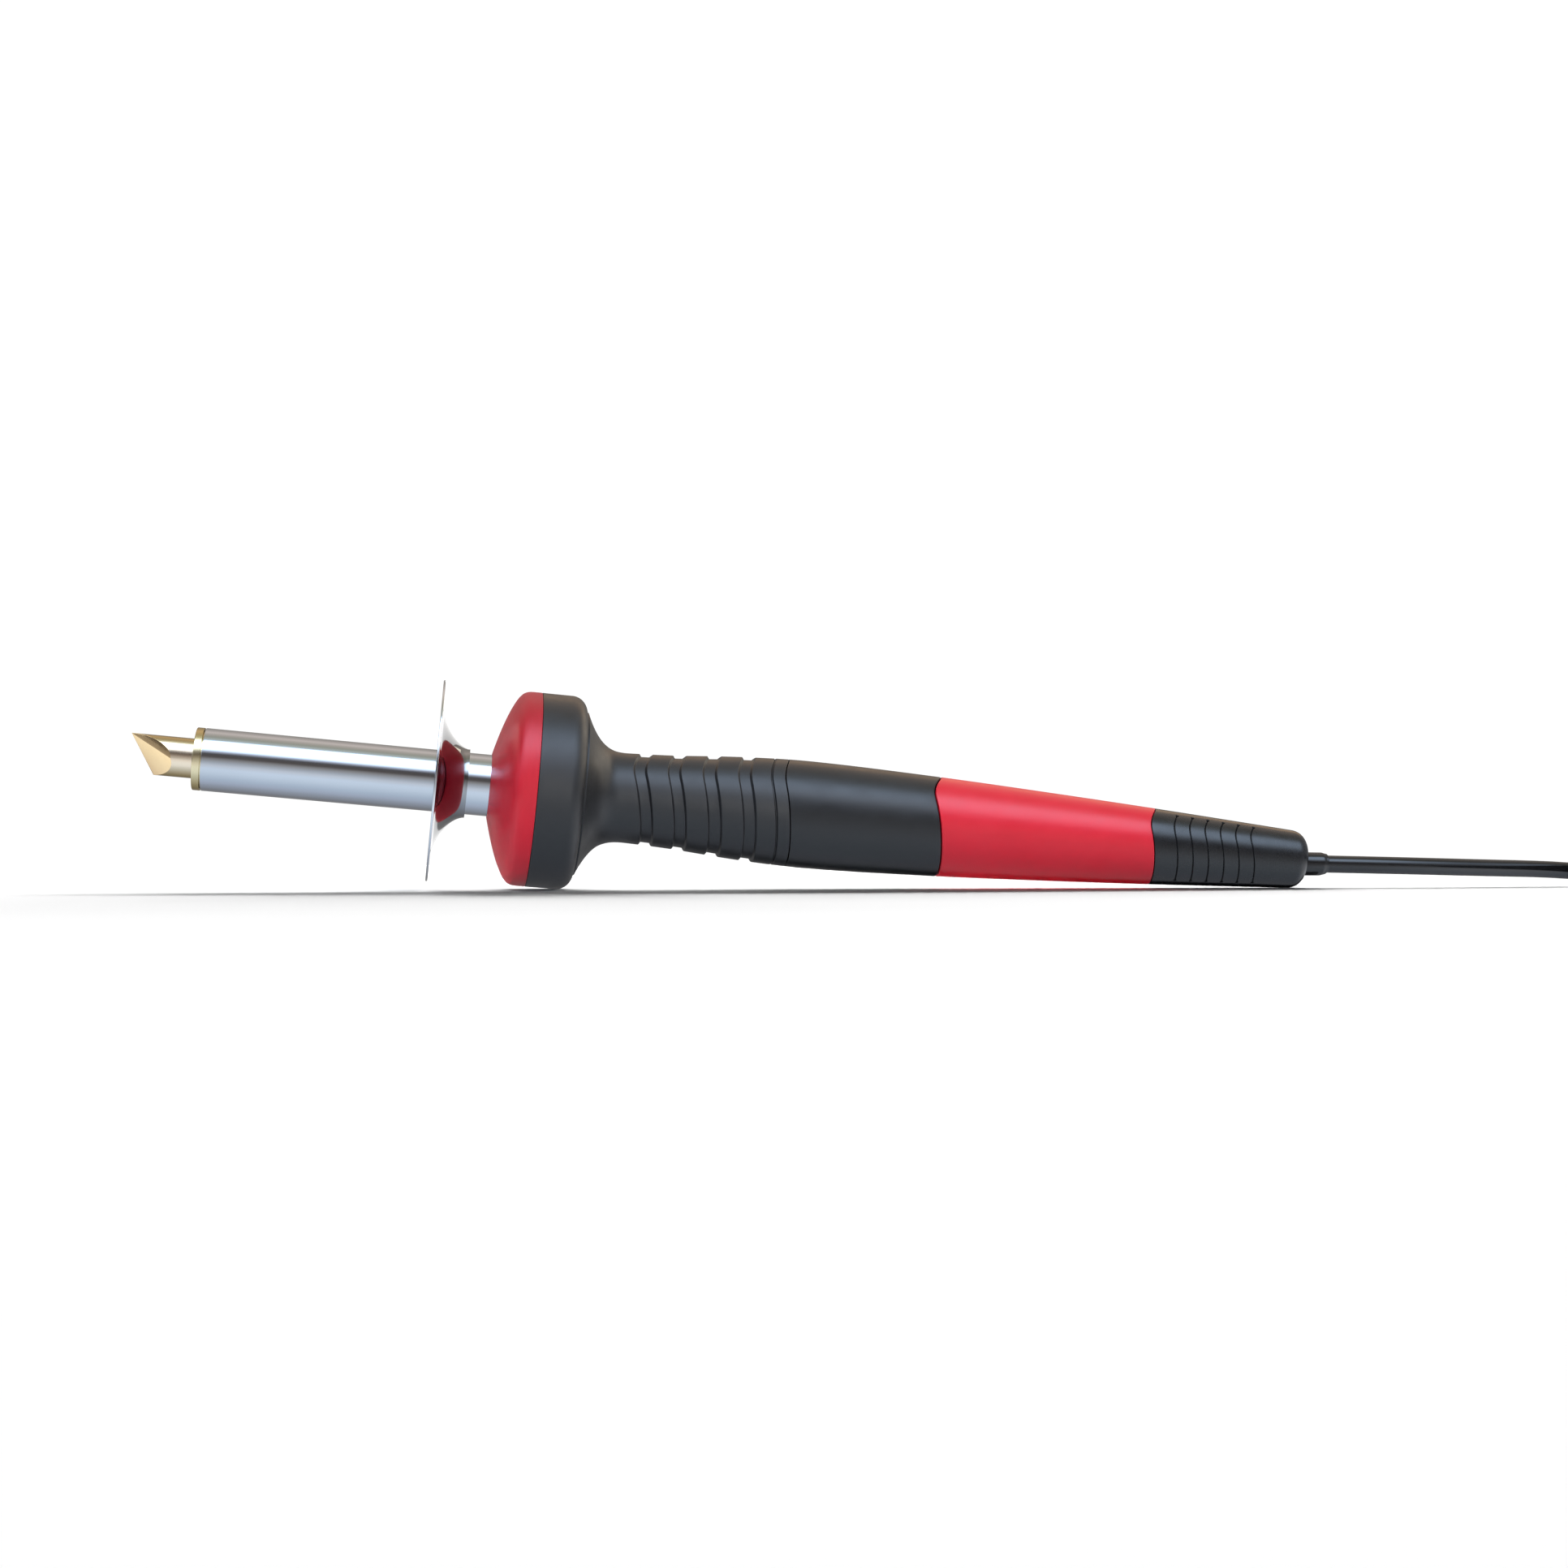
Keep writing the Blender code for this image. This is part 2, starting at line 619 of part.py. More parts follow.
def make_rear_shell(axis):
    front = PART_3 + GAP / 2
    outside = [(front, handle_r(front))]
    for line in REAR_LINES:
        outside += [(u, handle_r(u)) for u in (line - THIN_HALF, line, line + THIN_HALF)]
    outside += [(TAIL_STATION, handle_r(TAIL_STATION))]
    corner_u, corner_r = HANDLE[-1]
    for i in range(6):
        a = math.radians(18 * i)
        outside.append((corner_u + TAIL_ROUND * math.sin(a), corner_r - TAIL_ROUND_IN * (1 - math.cos(a))))
    step = CORE_BACK + GAP
    inside = [(TAIL_BACK, TAIL_HOLE_R), (POCKET_BACK, TAIL_HOLE_R), (POCKET_BACK, POCKET_R), (step, POCKET_R),
              (step, bore_r(CORE_BACK)), (front, bore_r(front))]
    bm = wavy(spun(outside + inside, FINE), REAR_LINES)
    # the pocket and the hole follow the cord's way out
    for v in bm.verts:
        u, r = v.co.x / MM, math.hypot(v.co.y, v.co.z) / MM
        rim = POCKET_R if u < POCKET_BACK + GAP else TAIL_HOLE_R
        if u > step - GAP / 2 and r < rim + GAP / 2:
            v.co.z += DROOP[-2][1] * MM
    add_object("rear_shell", bm, material("black_tail", BLACK, 0.36), axis)


def make_core(axis):
    stations = (CORE_FRONT, CORE_TAPER, CORE_BACK)
    outline = [(u, core_r(u)) for u in stations] + [(u, core_r(u) - CORE_WALL) for u in reversed(stations)]
    turned("handle_core", outline, material("core_plastic", (0.2, 0.2, 0.21), 0.6), axis)


# ---------------------------------------------------------------- wiring inside

def make_wiring(axis):
    nickel = material("nickel_lead", (0.6, 0.58, 0.54), 0.35, 1.0)
    behind = SPLICE_BACK + GAP
    wires = (
        ("live", (SPLICE_OFFSET, 0.0), (LEAD_OFFSET, 0.0), 81.0, (0.3, 0.13, 0.05)),
        ("neutral", (-SPLICE_OFFSET, 0.0), (-LEAD_OFFSET, 0.0), 81.0, (0.05, 0.12, 0.42)),
        ("earth", (0.0, -SPLICE_OFFSET), (0.0, -5.4), 98.0, (0.1, 0.35, 0.08)),
    )
    nylon = material("splice_nylon", (0.75, 0.72, 0.6), 0.5)
    for name, place, start, front, color in wires:
        kind = "earth_lead" if name == "earth" else f"heater_lead_{name}"
        lead = [(front, *start), (SLEEVE_BACK, *start), (SLEEVE_BACK + 20, *start),
                (SPLICE_FRONT - 20, *place), (SPLICE_FRONT - GAP, *place)]
        tube_along(kind, smooth_path(lead, 20.0), LEAD_R, nickel, axis, sides=0)
        splice = rod_bmesh(SPLICE_FRONT, SPLICE_BACK, SPLICE_R, 12)
        add_object(f"splice_{name}", splice, nylon, axis, (0.0, *place))
        y, z = (CONDUCTOR_OFFSET * (p > 0) - CONDUCTOR_OFFSET * (p < 0) for p in place)
        conductor = [(behind, *place), (behind + 5, *place), (CORD_INNER_FRONT - 6, y, z),
                     (CORD_INNER_FRONT - GAP, y, z)]
        tube_along(f"conductor_{name}", smooth_path(conductor, 4.0), CONDUCTOR_R,
                   material(f"insulation_{name}", color, 0.5), axis, sides=0)

    glass = material("glass_sleeve", (0.8, 0.79, 0.74), 0.8)
    for side, name in ((1, "lead_sleeve_live"), (-1, "lead_sleeve_neutral")):
        outline = [(BEAD_BACK + GAP, LEAD_R + GAP), (BEAD_BACK + GAP, SLEEVE_R), (SLEEVE_BACK, SLEEVE_R),
                   (SLEEVE_BACK, LEAD_R + GAP)]
        turned(name, outline, glass, axis, 12, location=(0.0, side * LEAD_OFFSET, 0.0))


# ---------------------------------------------------------------- cord end, relief and clamp

def make_cord_end(axis):
    rubber = material("cord_jacket_inner", RUBBER, 0.45)
    rod = stepped([(CORD_INNER_FRONT, CORD_R), (RELIEF_BACK, CORD_R)], DROOP_STEP)
    rod = [(CORD_INNER_FRONT, 0.0), *rod, (RELIEF_BACK, 0.0)]
    add_object("cord_inner", drooped(spun(rod, SMALL, closed=False)), rubber, axis)
    relief = RELIEF_OUTSIDE + stepped([(RELIEF_BACK, RELIEF_BORE), (RELIEF_FRONT, RELIEF_BORE)], DROOP_STEP)
    relief = stepped(relief, DROOP_STEP)
    add_object("strain_relief", drooped(spun(relief, PLAIN)), material("relief_rubber", RUBBER, 0.42), axis)
    ring = [(CLAMP_FRONT, RELIEF_BORE), (CLAMP_FRONT, CLAMP_R), (CLAMP_BACK, CLAMP_R),
            (CLAMP_BACK, RELIEF_BORE)]
    clamp = turned("cord_clamp", ring, material("clamp_brass", (0.6, 0.48, 0.25), 0.35, 1.0), axis)
    middle = (CLAMP_FRONT + CLAMP_BACK) / 2
    hole = rod_bmesh(0.0, CLAMP_HOLE_DEPTH, CLAMP_SCREW_R + GAP, 12)
    guide = cutter(clamp, "clamp_hole", hole, axis, (middle, 0.0, 0.0))
    guide.rotation_euler = (0.0, math.radians(-90), 0.0)
    bm = rod_bmesh(CORD_R + GAP, CLAMP_R, CLAMP_SCREW_R, 12)
    screw = add_object("clamp_screw", bm, material("clamp_screw_steel", (0.5, 0.5, 0.5), 0.35, 1.0), axis,
                       (middle, 0.0, 0.0))
    screw.rotation_euler = (0.0, math.radians(-90), 0.0)


# ---------------------------------------------------------------- cord, coil and plug

def cord_points():
    """The cord's centreline from the relief to the coil, down to where it lies."""
    start = Vector(on_axis(EXIT_U, EXIT_UP))
    ahead = Vector((1.0, 0.0, -EXIT_FALL)).normalized()
    route = [tuple(start), tuple(start + ahead * EXIT_STRAIGHT)]
    route += [(start.x + x, y, z) for x, y, z in CORD_ROUTE]
    low = COIL_Z + TURN / 2
    end = COIL_X - COIL_ENTRY
    route += [(end - LANDING, CORD_Y, low + LANDING_RISE), (end, CORD_Y, low)]
    return smooth_path(route, CORD_STEP)


def make_cord():
    jacket = material("cord_jacket", RUBBER, 0.4)
    tube_along("power_cord", cord_points(), CORD_R, jacket)
    lead = [(COIL_X + COIL_ENTRY, CORD_Y, PLUG_LEAD_Z), (PLUG_RELIEF_X - GAP, CORD_Y, PLUG_LEAD_Z)]
    tube_along("plug_lead", smooth_path(lead, 6.0), CORD_R, jacket)


def make_coil():
    """The outer shape of a three by three stack of turns, and the strap that holds them."""
    jacket = material("cord_coil_jacket", RUBBER, 0.4)
    low, high, c = COIL_Z, COIL_Z + 2 * COIL_HALF, COIL_CHAMFER
    inner, outer = COIL_R - COIL_HALF, COIL_R + COIL_HALF
    ring = [(low, inner + c), (low + c, inner), (high - c, inner), (high, inner + c), (high, outer - c),
            (high - c, outer), (low + c, outer), (low, outer - c)]
    coil = add_object("cord_coil", spun(ring, FINE), jacket, None, (COIL_X, COIL_Y, 0.0))
    coil.rotation_euler = (0.0, math.radians(-90), 0.0)

    strap = material("tie_strap", (0.05, 0.05, 0.055), 0.7)
    height = 2 * (COIL_HALF + GAP + TIE_SHEET)
    width = height + 2 * TIE_SLACK
    y, z = COIL_Y - COIL_R, COIL_Z + COIL_HALF
    tie = add_object("coil_tie", box_bmesh((TIE_WIDTH, width, height), (COIL_X, y, z)), strap)
    hollow = box_bmesh((TIE_WIDTH + 4, width - 2 * TIE_SHEET, height - 2 * TIE_SHEET), (COIL_X, y, z))
    cutter(tie, "tie_hollow", hollow)


def make_plug():
    rubber = material("plug_rubber", RUBBER, 0.5)
    brass = material("plug_brass", (0.72, 0.66, 0.5), 0.25, 1.0)
    thin, thick = PLUG_RELIEF_ENDS
    outline = [(0.0, 0.0), (0.0, thin), (PLUG_RELIEF_LENGTH, thick), (PLUG_RELIEF_LENGTH, 0.0)]
    relief = spun(outline, PLAIN, closed=False)
    add_object("plug_relief", relief, material("plug_relief_rubber", RUBBER, 0.5), None,
               (PLUG_RELIEF_X, CORD_Y, PLUG_LEAD_Z))
    centre = (PLUG_X + PLUG_SIZE[0] / 2, CORD_Y, PLUG_SIZE[2] / 2)
    add_object("plug_body", box_bmesh(PLUG_SIZE, centre, PLUG_BEVEL), rubber)
    face = PLUG_X + PLUG_SIZE[0] + GAP
    for side, name in ((1, "plug_blade_live"), (-1, "plug_blade_neutral")):
        blade = box_bmesh(BLADE, (face + BLADE[0] / 2, CORD_Y + side * BLADE_Y, BLADE_Z))
        add_object(name, blade, brass)
    pin = rod_bmesh(face, face + PIN_LENGTH, PIN_R, SMALL)
    add_object("plug_earth_pin", pin, material("plug_pin_brass", (0.72, 0.66, 0.5), 0.25, 1.0), None,
               (0.0, CORD_Y, BLADE_Z - PIN_DROP))


def main():
    clear_scene()
    axis = bpy.data.objects.new("iron_axis", None)
    bpy.context.collection.objects.link(axis)
    axis.location = Vector(on_axis(0.0)) * MM
    axis.rotation_euler = (0.0, TILT, 0.0)
    make_tip(axis)
    make_bush(axis)
    make_set_screw(axis)
    make_barrel(axis)
    make_heater(axis)
    make_guard(axis)
    make_cover(axis)
    make_flange(axis)
    make_grip(axis)
    make_sleeves(axis)
    make_rear_shell(axis)
    make_core(axis)
    make_wiring(axis)
    make_cord_end(axis)
    make_cord()
    make_coil()
    make_plug()
    bpy.context.view_layer.update()


main()
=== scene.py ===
"""Looks of the stained glass soldering iron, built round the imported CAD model.

The iron's sizes are in millimetres until a mesh is made; the floor and the lights are in metres. The iron's
own axis is u, 0 at the point of the tip; the handle's pieces are outlines of (u, r) stations spun round it,
and the iron lies on its nose and its tail.
"""

import json
import math

import bmesh
import bpy
import numpy as np
from mathutils import Matrix, Vector

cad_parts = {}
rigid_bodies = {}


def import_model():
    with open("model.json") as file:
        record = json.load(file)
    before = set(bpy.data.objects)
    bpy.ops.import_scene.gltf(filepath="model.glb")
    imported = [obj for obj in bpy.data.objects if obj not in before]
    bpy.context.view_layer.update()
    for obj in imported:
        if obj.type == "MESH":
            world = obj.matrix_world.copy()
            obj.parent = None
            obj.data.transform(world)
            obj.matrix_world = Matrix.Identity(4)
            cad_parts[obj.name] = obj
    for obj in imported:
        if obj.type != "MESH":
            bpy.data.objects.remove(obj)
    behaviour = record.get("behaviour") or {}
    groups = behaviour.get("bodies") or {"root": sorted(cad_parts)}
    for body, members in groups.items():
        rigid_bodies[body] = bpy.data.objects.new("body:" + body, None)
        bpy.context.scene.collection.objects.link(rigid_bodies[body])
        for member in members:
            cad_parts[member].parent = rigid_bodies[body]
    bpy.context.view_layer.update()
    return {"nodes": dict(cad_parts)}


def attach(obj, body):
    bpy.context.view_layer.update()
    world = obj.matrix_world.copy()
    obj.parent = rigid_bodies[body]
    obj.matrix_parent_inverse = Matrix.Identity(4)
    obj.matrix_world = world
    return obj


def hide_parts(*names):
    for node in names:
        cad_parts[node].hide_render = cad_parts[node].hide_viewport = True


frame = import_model()

MM = 0.001
GAP = 0.3  # between pieces that touch on a real iron
SHARP = 32.0  # degrees between faces from which an edge shows as an edge

# Tip, bush and barrel
TIP_R = 4.76
TIP_BACK = 66.0
TIP_CHAMFER = 0.5
TIP_EDGE = 0.07  # width of the broken edges round the facets
TIP_CREASE = 9.0  # degrees; the bar's own sides turn by less
FACETS = [(0.709, 0.434), (0.532, 0.106)]  # half width = a * u - b * depth below the top line
TIP_FOLD = (0.744, 0.462)  # a third, nearly coplanar facet along the leading edge
BARREL_R = 7.5
BARREL_BORE = 7.0
RING_FRONT = 15.15
RING_BACK = 16.9
BARREL_BACK = 103.2
BUSH_R = 6.7
BUSH_BORE = 4.84
BUSH_BACK = 34.0
SET_SCREW_U = 25.0
SET_SCREW_R = 2.0
SET_SCREW_LENGTH = 4.0
SET_SCREW_POINT_R = 1.3
SET_SCREW_POINT = 0.7
SET_SCREW_CLEARANCE = 0.08
SET_SCREW_HOLE = 12.0  # from the axis to beyond the barrel
SOCKET_R = 1.15
SOCKET_DEPTH = 1.8

# Heat guard
GUARD_U = 71.55
GUARD_SHEET = 0.55
GUARD_R = 24.4
COLLAR_BORE = 7.8
COLLAR_LENGTH = 7.85
COLLAR_RISE = 10.2
COLLAR_CURVE = 1.25
COLLAR_STEPS = 28

# Nose
COVER_FRONT = 84.75
COVER_BACK = 95.4
COVER_WALL = 1.8
COVER_CONE = (7.95, 3.9, -0.2313)  # radius = a + b * x + c * x * x at x behind the front
COVER_CONE_LENGTH = 5.3
COVER_RIM = [(90.8, 22.95), (91.15, 23.2), (91.6, 23.42), (92.1, 23.57), (92.6, 23.66), (93.0, 23.69)]
COVER_FULL = 93.4  # where it reaches the nose's radius
COVER_LIP = 0.12
COVER_INSIDE = [(93.0, 21.9), (91.6, 21.0), (89.4, 17.2), (87.4, 11.5), (86.4, COLLAR_BORE)]
NOSE_R = 23.7
NOSE_FRONT = 95.48  # so close to the cover that hardly a line shows
NOSE_EDGE = 102.8
NOSE_ROUND = 3.8
NOSE_STEPS = 12
NOSE_LINE_EDGE = 0.12  # rounding on both sides of the line between the cover and the nose
BORE_FRONT = 103.5  # where the grip's bore narrows to the barrel's width

# Handle
GRIP_FRONT = 106.9
GRIP_BLEND = 10.5
GRIP_WAIST_R = 11.0
GRIP_RISE = 9.2
GRIP_CURVE = 2.75
WAIST_STEPS = 36
WAIST_SPACING = 1.3  # closer stations where the waist's curve is tight
HANDLE = [(117.4, 11.0), (128.2, 11.47), (145.5, 12.75), (163.0, 13.33), (195.0, 12.53),
          (225.0, 11.21), (255.0, 9.64), (288.0, 7.65), (290.1, 7.504)]
BANDS = [(120.5, 123.8), (128.8, 132.1), (137.25, 140.75), (145.9, 149.3)]
BAND_DEPTH = 0.72
BAND_WALL = 0.45
BAND_EDGE = 0.12
BAND_FOOT = 0.1
THIN_LINE = 154.2
THIN_LINE_DEPTH = 0.45
THIN_LINE_HALF = 0.3
THIN_LINE_FLOOR = 0.08
THIN_LINE_EDGE = 0.08
PART_1 = 157.6
PART_2 = 196.6
PART_3 = 253.2
LINE_GAP = 0.12  # each side of the part lines 1 and 3
RED_GAP = 0.16  # each side of part line 2
LINE_EDGE = 0.14  # rounding at the same lines
RED_EDGE = 0.3
STATION_STEP = 1.5
TAIL_ROUND = 3.6  # along the axis
TAIL_ROUND_IN = 3.0  # towards the axis
TAIL_STEPS = 14
TAIL_BACK = 293.7
TAIL_HOLE_R = 3.4
POCKET_R = 5.05
POCKET_BACK = 290.7
REAR_LINES = [259.4 + 4.17 * k for k in range(6)]
REAR_LINE_FROM = 30.0  # degrees from the top, on both sides
REAR_LINE_TO = 151.0
# the part lines' wave at stations along the handle: u, then what wave_of takes
WAVES = [(112.0, 54.0, 0.0, 0.0, 1.0), (120.5, 54.0, 2.0, 1.6, 1.0), (157.6, 54.0, 2.0, 1.1, 1.0),
         (196.6, 52.0, 3.3, 0.9, 0.4), (253.2, 62.0, 3.3, 0.0, 0.0), (281.0, 62.0, 3.3, 0.0, 0.0),
         (284.3, 62.0, 0.0, 0.0, 0.0)]
# the tube inside the handle, which the shells' bores clear
CORE_R = 8.6
CORE_BACK_R = 5.9
CORE_TAPER = 240.0
CORE_BACK = 284.0

# Resting pose
TILT = math.atan((NOSE_R - HANDLE[-1][1]) / (HANDLE[-1][0] - NOSE_EDGE))
AXIS_Z = NOSE_EDGE * math.sin(TILT) + NOSE_R * math.cos(TILT)
AXIS_X = -147.262
LAY = Matrix.Translation(Vector((AXIS_X, 0.0, AXIS_Z)) * MM) @ Matrix.Rotation(TILT, 4, "Y")

# Cord, coil and plug
CORD_R = 2.25
# how far the cord's way out lies off the iron's axis: it droops in the tail and comes out nearly level
DROOP = [(262.0, 0.0), (270.0, 0.0), (279.0, -0.45), (287.1, -0.95), (293.7, -0.95), (300.8, -0.45)]
EXIT_U = 300.8
EXIT_UP = DROOP[-1][1]
EXIT_FALL = 0.02
EXIT_STRAIGHT = 4.0
EXIT_INSIDE = 0.28  # how far the visible cord starts inside its sleeve
# (x past the exit, y, z) that the cord passes on its way down to the floor
CORD_ROUTE = [(17.0, 0.6, 5.76), (32.0, 2.9, 5.42), (48.0, 6.3, 5.05), (64.0, 9.4, 4.68)]
LANDING = 6.0  # how far before the coil it comes down
LANDING_RISE = 0.7
TURN = 4.6  # from one turn of the coil to the next
COIL_X = 250.0
COIL_R = 26.0
CORD_Y = 10.8
COIL_Y = CORD_Y - COIL_R - TURN
COIL_Z = 1.2
COIL_ENTRY = 17.4
PLUG_LEAD_Z = 12.6
PLUG_RELIEF_X = COIL_X + 24.0
PLUG_RELIEF_LENGTH = 26.0
RELIEF_BORE = 2.35
RELIEF_R = 3.3  # at the cord's end, growing evenly towards the plug
RELIEF_GROWTH = 2.1
RELIEF_SLOTS = 6
RELIEF_SLOT_FROM = 2.6
RELIEF_SLOT_STEP = 3.4
RELIEF_SLOT = [(0.0, 0.0), (0.25, -0.15), (0.35, -0.95), (1.35, -0.9), (1.45, -0.1), (1.7, 0.08)]
PLUG_X = PLUG_RELIEF_X + PLUG_RELIEF_LENGTH + GAP
PLUG_SIZE = (33.0, 27.0, 25.0)
PLUG_ROUND = 3.5
GROOVES = 4
GROOVE_AT = (9.0, 13.9, 5.0)  # from the plug's back, from its middle, above the floor
GROOVE_STEP = 3.6
GROOVE_R = 1.1
GROOVE_LENGTH = 15.0
BLADE = (16.0, 1.5, 6.3)
BLADE_Y = 6.35
BLADE_Z = 16.0
BLADE_ROUND = 0.35
BLADE_HOLE_R = 1.5
BLADE_HOLE_IN = 4.0
PIN_R = 2.4
PIN_LENGTH = 19.0
PIN_DROP = 11.9


def new_object(name, data):
    obj = bpy.data.objects.new(name, data)
    bpy.context.collection.objects.link(obj)
    return obj


# ---- camera

CAMERA_AT = (-77.1, -523.2, 11.0)
CAMERA_YAW = math.radians(9.43)
CAMERA_PITCH = math.radians(1.62)
CAMERA_ROLL = math.radians(0.09)
CAMERA_LENS = 48.99
CAMERA_SENSOR = 36.0
CAMERA_CLIP = (0.01, 100.0)


def make_camera():
    data = bpy.data.cameras.new("camera")
    data.lens = CAMERA_LENS
    data.sensor_width = CAMERA_SENSOR
    data.clip_start, data.clip_end = CAMERA_CLIP
    camera = new_object("camera", data)
    yaw, pitch = CAMERA_YAW, CAMERA_PITCH
    forward = Vector((math.sin(yaw) * math.cos(pitch), math.cos(yaw) * math.cos(pitch), math.sin(pitch)))
    right = Vector((math.cos(yaw), -math.sin(yaw), 0.0))
    up = right.cross(forward)
    right, up = (right * math.cos(CAMERA_ROLL) + up * math.sin(CAMERA_ROLL),
                 up * math.cos(CAMERA_ROLL) - right * math.sin(CAMERA_ROLL))
    turn = Matrix((right, up, -forward)).transposed().to_4x4()
    camera.matrix_world = Matrix.Translation(Vector(CAMERA_AT) * MM) @ turn
    bpy.context.scene.camera = camera


make_camera()


# ---- materials

NOISE_RANGE = (0.3, 0.7)  # where nearly all of a noise texture's values lie
GILT_SHADE_RANGE = (0.45, 0.92)  # shares of the radius between which the painted shade darkens the gold towards its top and bottom


def rgb(r, g, b):
    return (r, g, b, 1.0)


def fill_ramp(node, stops):
    elements = node.color_ramp.elements
    while len(elements) < len(stops):
        elements.new(0.5)
    for element, (at, color) in zip(elements, stops):
        element.position = at
        element.color = color


class Nodes:
    """A short way to write a procedural material round one Principled shader."""

    def __init__(self, name, color, roughness, metallic=0.0, **sockets):
        self.mat = bpy.data.materials.new(name)
        self.mat.use_nodes = True
        self.tree = self.mat.node_tree
        self.shader = self.tree.nodes["Principled BSDF"]
        self.shader.inputs["Base Color"].default_value = color
        self.shader.inputs["Roughness"].default_value = roughness
        self.shader.inputs["Metallic"].default_value = metallic
        for key, value in sockets.items():
            self.shader.inputs[key.replace("_", " ")].default_value = value
        self.mat.diffuse_color = color

    def add(self, kind, **values):
        node = self.tree.nodes.new(kind)
        for key, value in values.items():
            setattr(node, key, value)
        return node

    def link(self, source, target):
        self.tree.links.new(source, target)

    def place(self, scale=(1.0, 1.0, 1.0)):
        """Object coordinates, in metres times the scale."""
        coords = self.add("ShaderNodeTexCoord")
        mapping = self.add("ShaderNodeMapping")
        mapping.inputs["Scale"].default_value = scale
        self.link(coords.outputs["Object"], mapping.inputs["Vector"])
        return mapping.outputs["Vector"]

    def noise(self, scale, detail=3.0, roughness=0.5, stretch=(1.0, 1.0, 1.0)):
        noise = self.add("ShaderNodeTexNoise")
        noise.inputs["Scale"].default_value = scale
        noise.inputs["Detail"].default_value = detail
        noise.inputs["Roughness"].default_value = roughness
        self.link(self.place(stretch), noise.inputs["Vector"])
        return noise.outputs["Fac"]

    def ramp(self, fac, stops):
        ramp = self.add("ShaderNodeValToRGB")
        fill_ramp(ramp, stops)
        self.link(fac, ramp.inputs["Fac"])
        return ramp.outputs["Color"]

    def span(self, fac, low, high):
        """A noise spread between low and high."""
        node = self.add("ShaderNodeMapRange")
        node.inputs["From Min"].default_value, node.inputs["From Max"].default_value = NOISE_RANGE
        node.inputs["To Min"].default_value = low
        node.inputs["To Max"].default_value = high
        self.link(fac, node.inputs["Value"])
        return node.outputs["Result"]

    def bump(self, heights, strength, distance):
        """One bump after another, each on top of the last; the distance is in metres."""
        normal = None
        for height, share in heights:
            node = self.add("ShaderNodeBump")
            node.inputs["Strength"].default_value = strength * share
            node.inputs["Distance"].default_value = distance
            self.link(height, node.inputs["Height"])
            if normal is not None:
                self.link(normal, node.inputs["Normal"])
            normal = node.outputs["Normal"]
        self.link(normal, self.shader.inputs["Normal"])

    def color(self, fac, first, second, low=0.35, high=0.65):
        self.link(self.ramp(fac, [(low, first), (high, second)]), self.shader.inputs["Base Color"])

    def rough(self, fac, low, high):
        self.link(self.span(fac, low, high), self.shader.inputs["Roughness"])


def plastic(name, first, second, roughness, grain=0.25, **sockets):
    """Moulded plastic: faint colour drift, a fine spark-eroded grain and slight flow marks."""
    n = Nodes(name, first, roughness, **sockets)
    n.color(n.noise(55.0, 4.0), first, second)
    n.rough(n.noise(220.0, 4.0, 0.6), roughness - 0.035, roughness + 0.045)
    n.bump([(n.noise(9000.0, 2.0), 1.0), (n.noise(160.0, 2.0, stretch=(0.4, 1.0, 1.0)), 0.35)],
           strength=grain, distance=0.00002)
    return n.mat


LENGTHWISE = (1.0, 6.0, 6.0)  # stretches marks along the iron


def polish_marks(n, roughness, spread, brush, grain):
    """Fine marks of polishing, drawn out along one way."""
    n.rough(n.noise(900.0, 5.0, 0.6, brush), roughness - spread, roughness + spread)
    n.bump([(n.noise(3600.0, 3.0, 0.6, brush), 1.0), (n.noise(120.0, 3.0), 0.25)],
           strength=grain, distance=0.00001)


def metal(name, first, second, roughness, spread, brush=(1.0, 1.0, 1.0), grain=0.08):
    """Plated or polished metal with faint drifts of colour."""
    n = Nodes(name, first, roughness, 1.0)
    n.color(n.noise(70.0, 5.0, 0.6), first, second)
    polish_marks(n, roughness, spread, brush, grain)
    return n.mat


def gilt_and_edge_shade(name, pale, deep, roughness, radius):
    """Gold-coloured plating with painted shade: deeper and darker in colour along its top and bottom than at
    its middle.
    """
    n = Nodes(name, pale, roughness, 1.0)
    up = LAY.to_3x3().col[2]
    coords = n.add("ShaderNodeTexCoord")
    dot = n.add("ShaderNodeVectorMath", operation="DOT_PRODUCT")
    n.link(coords.outputs["Object"], dot.inputs[0])
    dot.inputs[1].default_value = up
    off = n.add("ShaderNodeMath", operation="SUBTRACT")
    n.link(dot.outputs["Value"], off.inputs[0])
    off.inputs[1].default_value = up.dot(LAY.translation)
    far = n.add("ShaderNodeMath", operation="ABSOLUTE")
    n.link(off.outputs["Value"], far.inputs[0])
    share = n.add("ShaderNodeMapRange")
    share.inputs["From Min"].default_value = GILT_SHADE_RANGE[0] * radius * MM
    share.inputs["From Max"].default_value = GILT_SHADE_RANGE[1] * radius * MM
    n.link(far.outputs["Value"], share.inputs["Value"])
    n.color(share.outputs["Result"], pale, deep, 0.0, 1.0)
    polish_marks(n, roughness, 0.03, LENGTHWISE, 0.08)
    return n.mat


def ceramic(name, first, second, roughness, scale=600.0):
    """Fired clay or pressed mica: mottled, with a gritty surface."""
    n = Nodes(name, first, roughness)
    n.color(n.noise(scale * 0.3, 5.0, 0.6), first, second)
    n.rough(n.noise(scale, 3.0), roughness - 0.08, roughness + 0.08)
    n.bump([(n.noise(scale * 8.0, 3.0, 0.7), 1.0)], strength=0.4, distance=0.00004)
    return n.mat


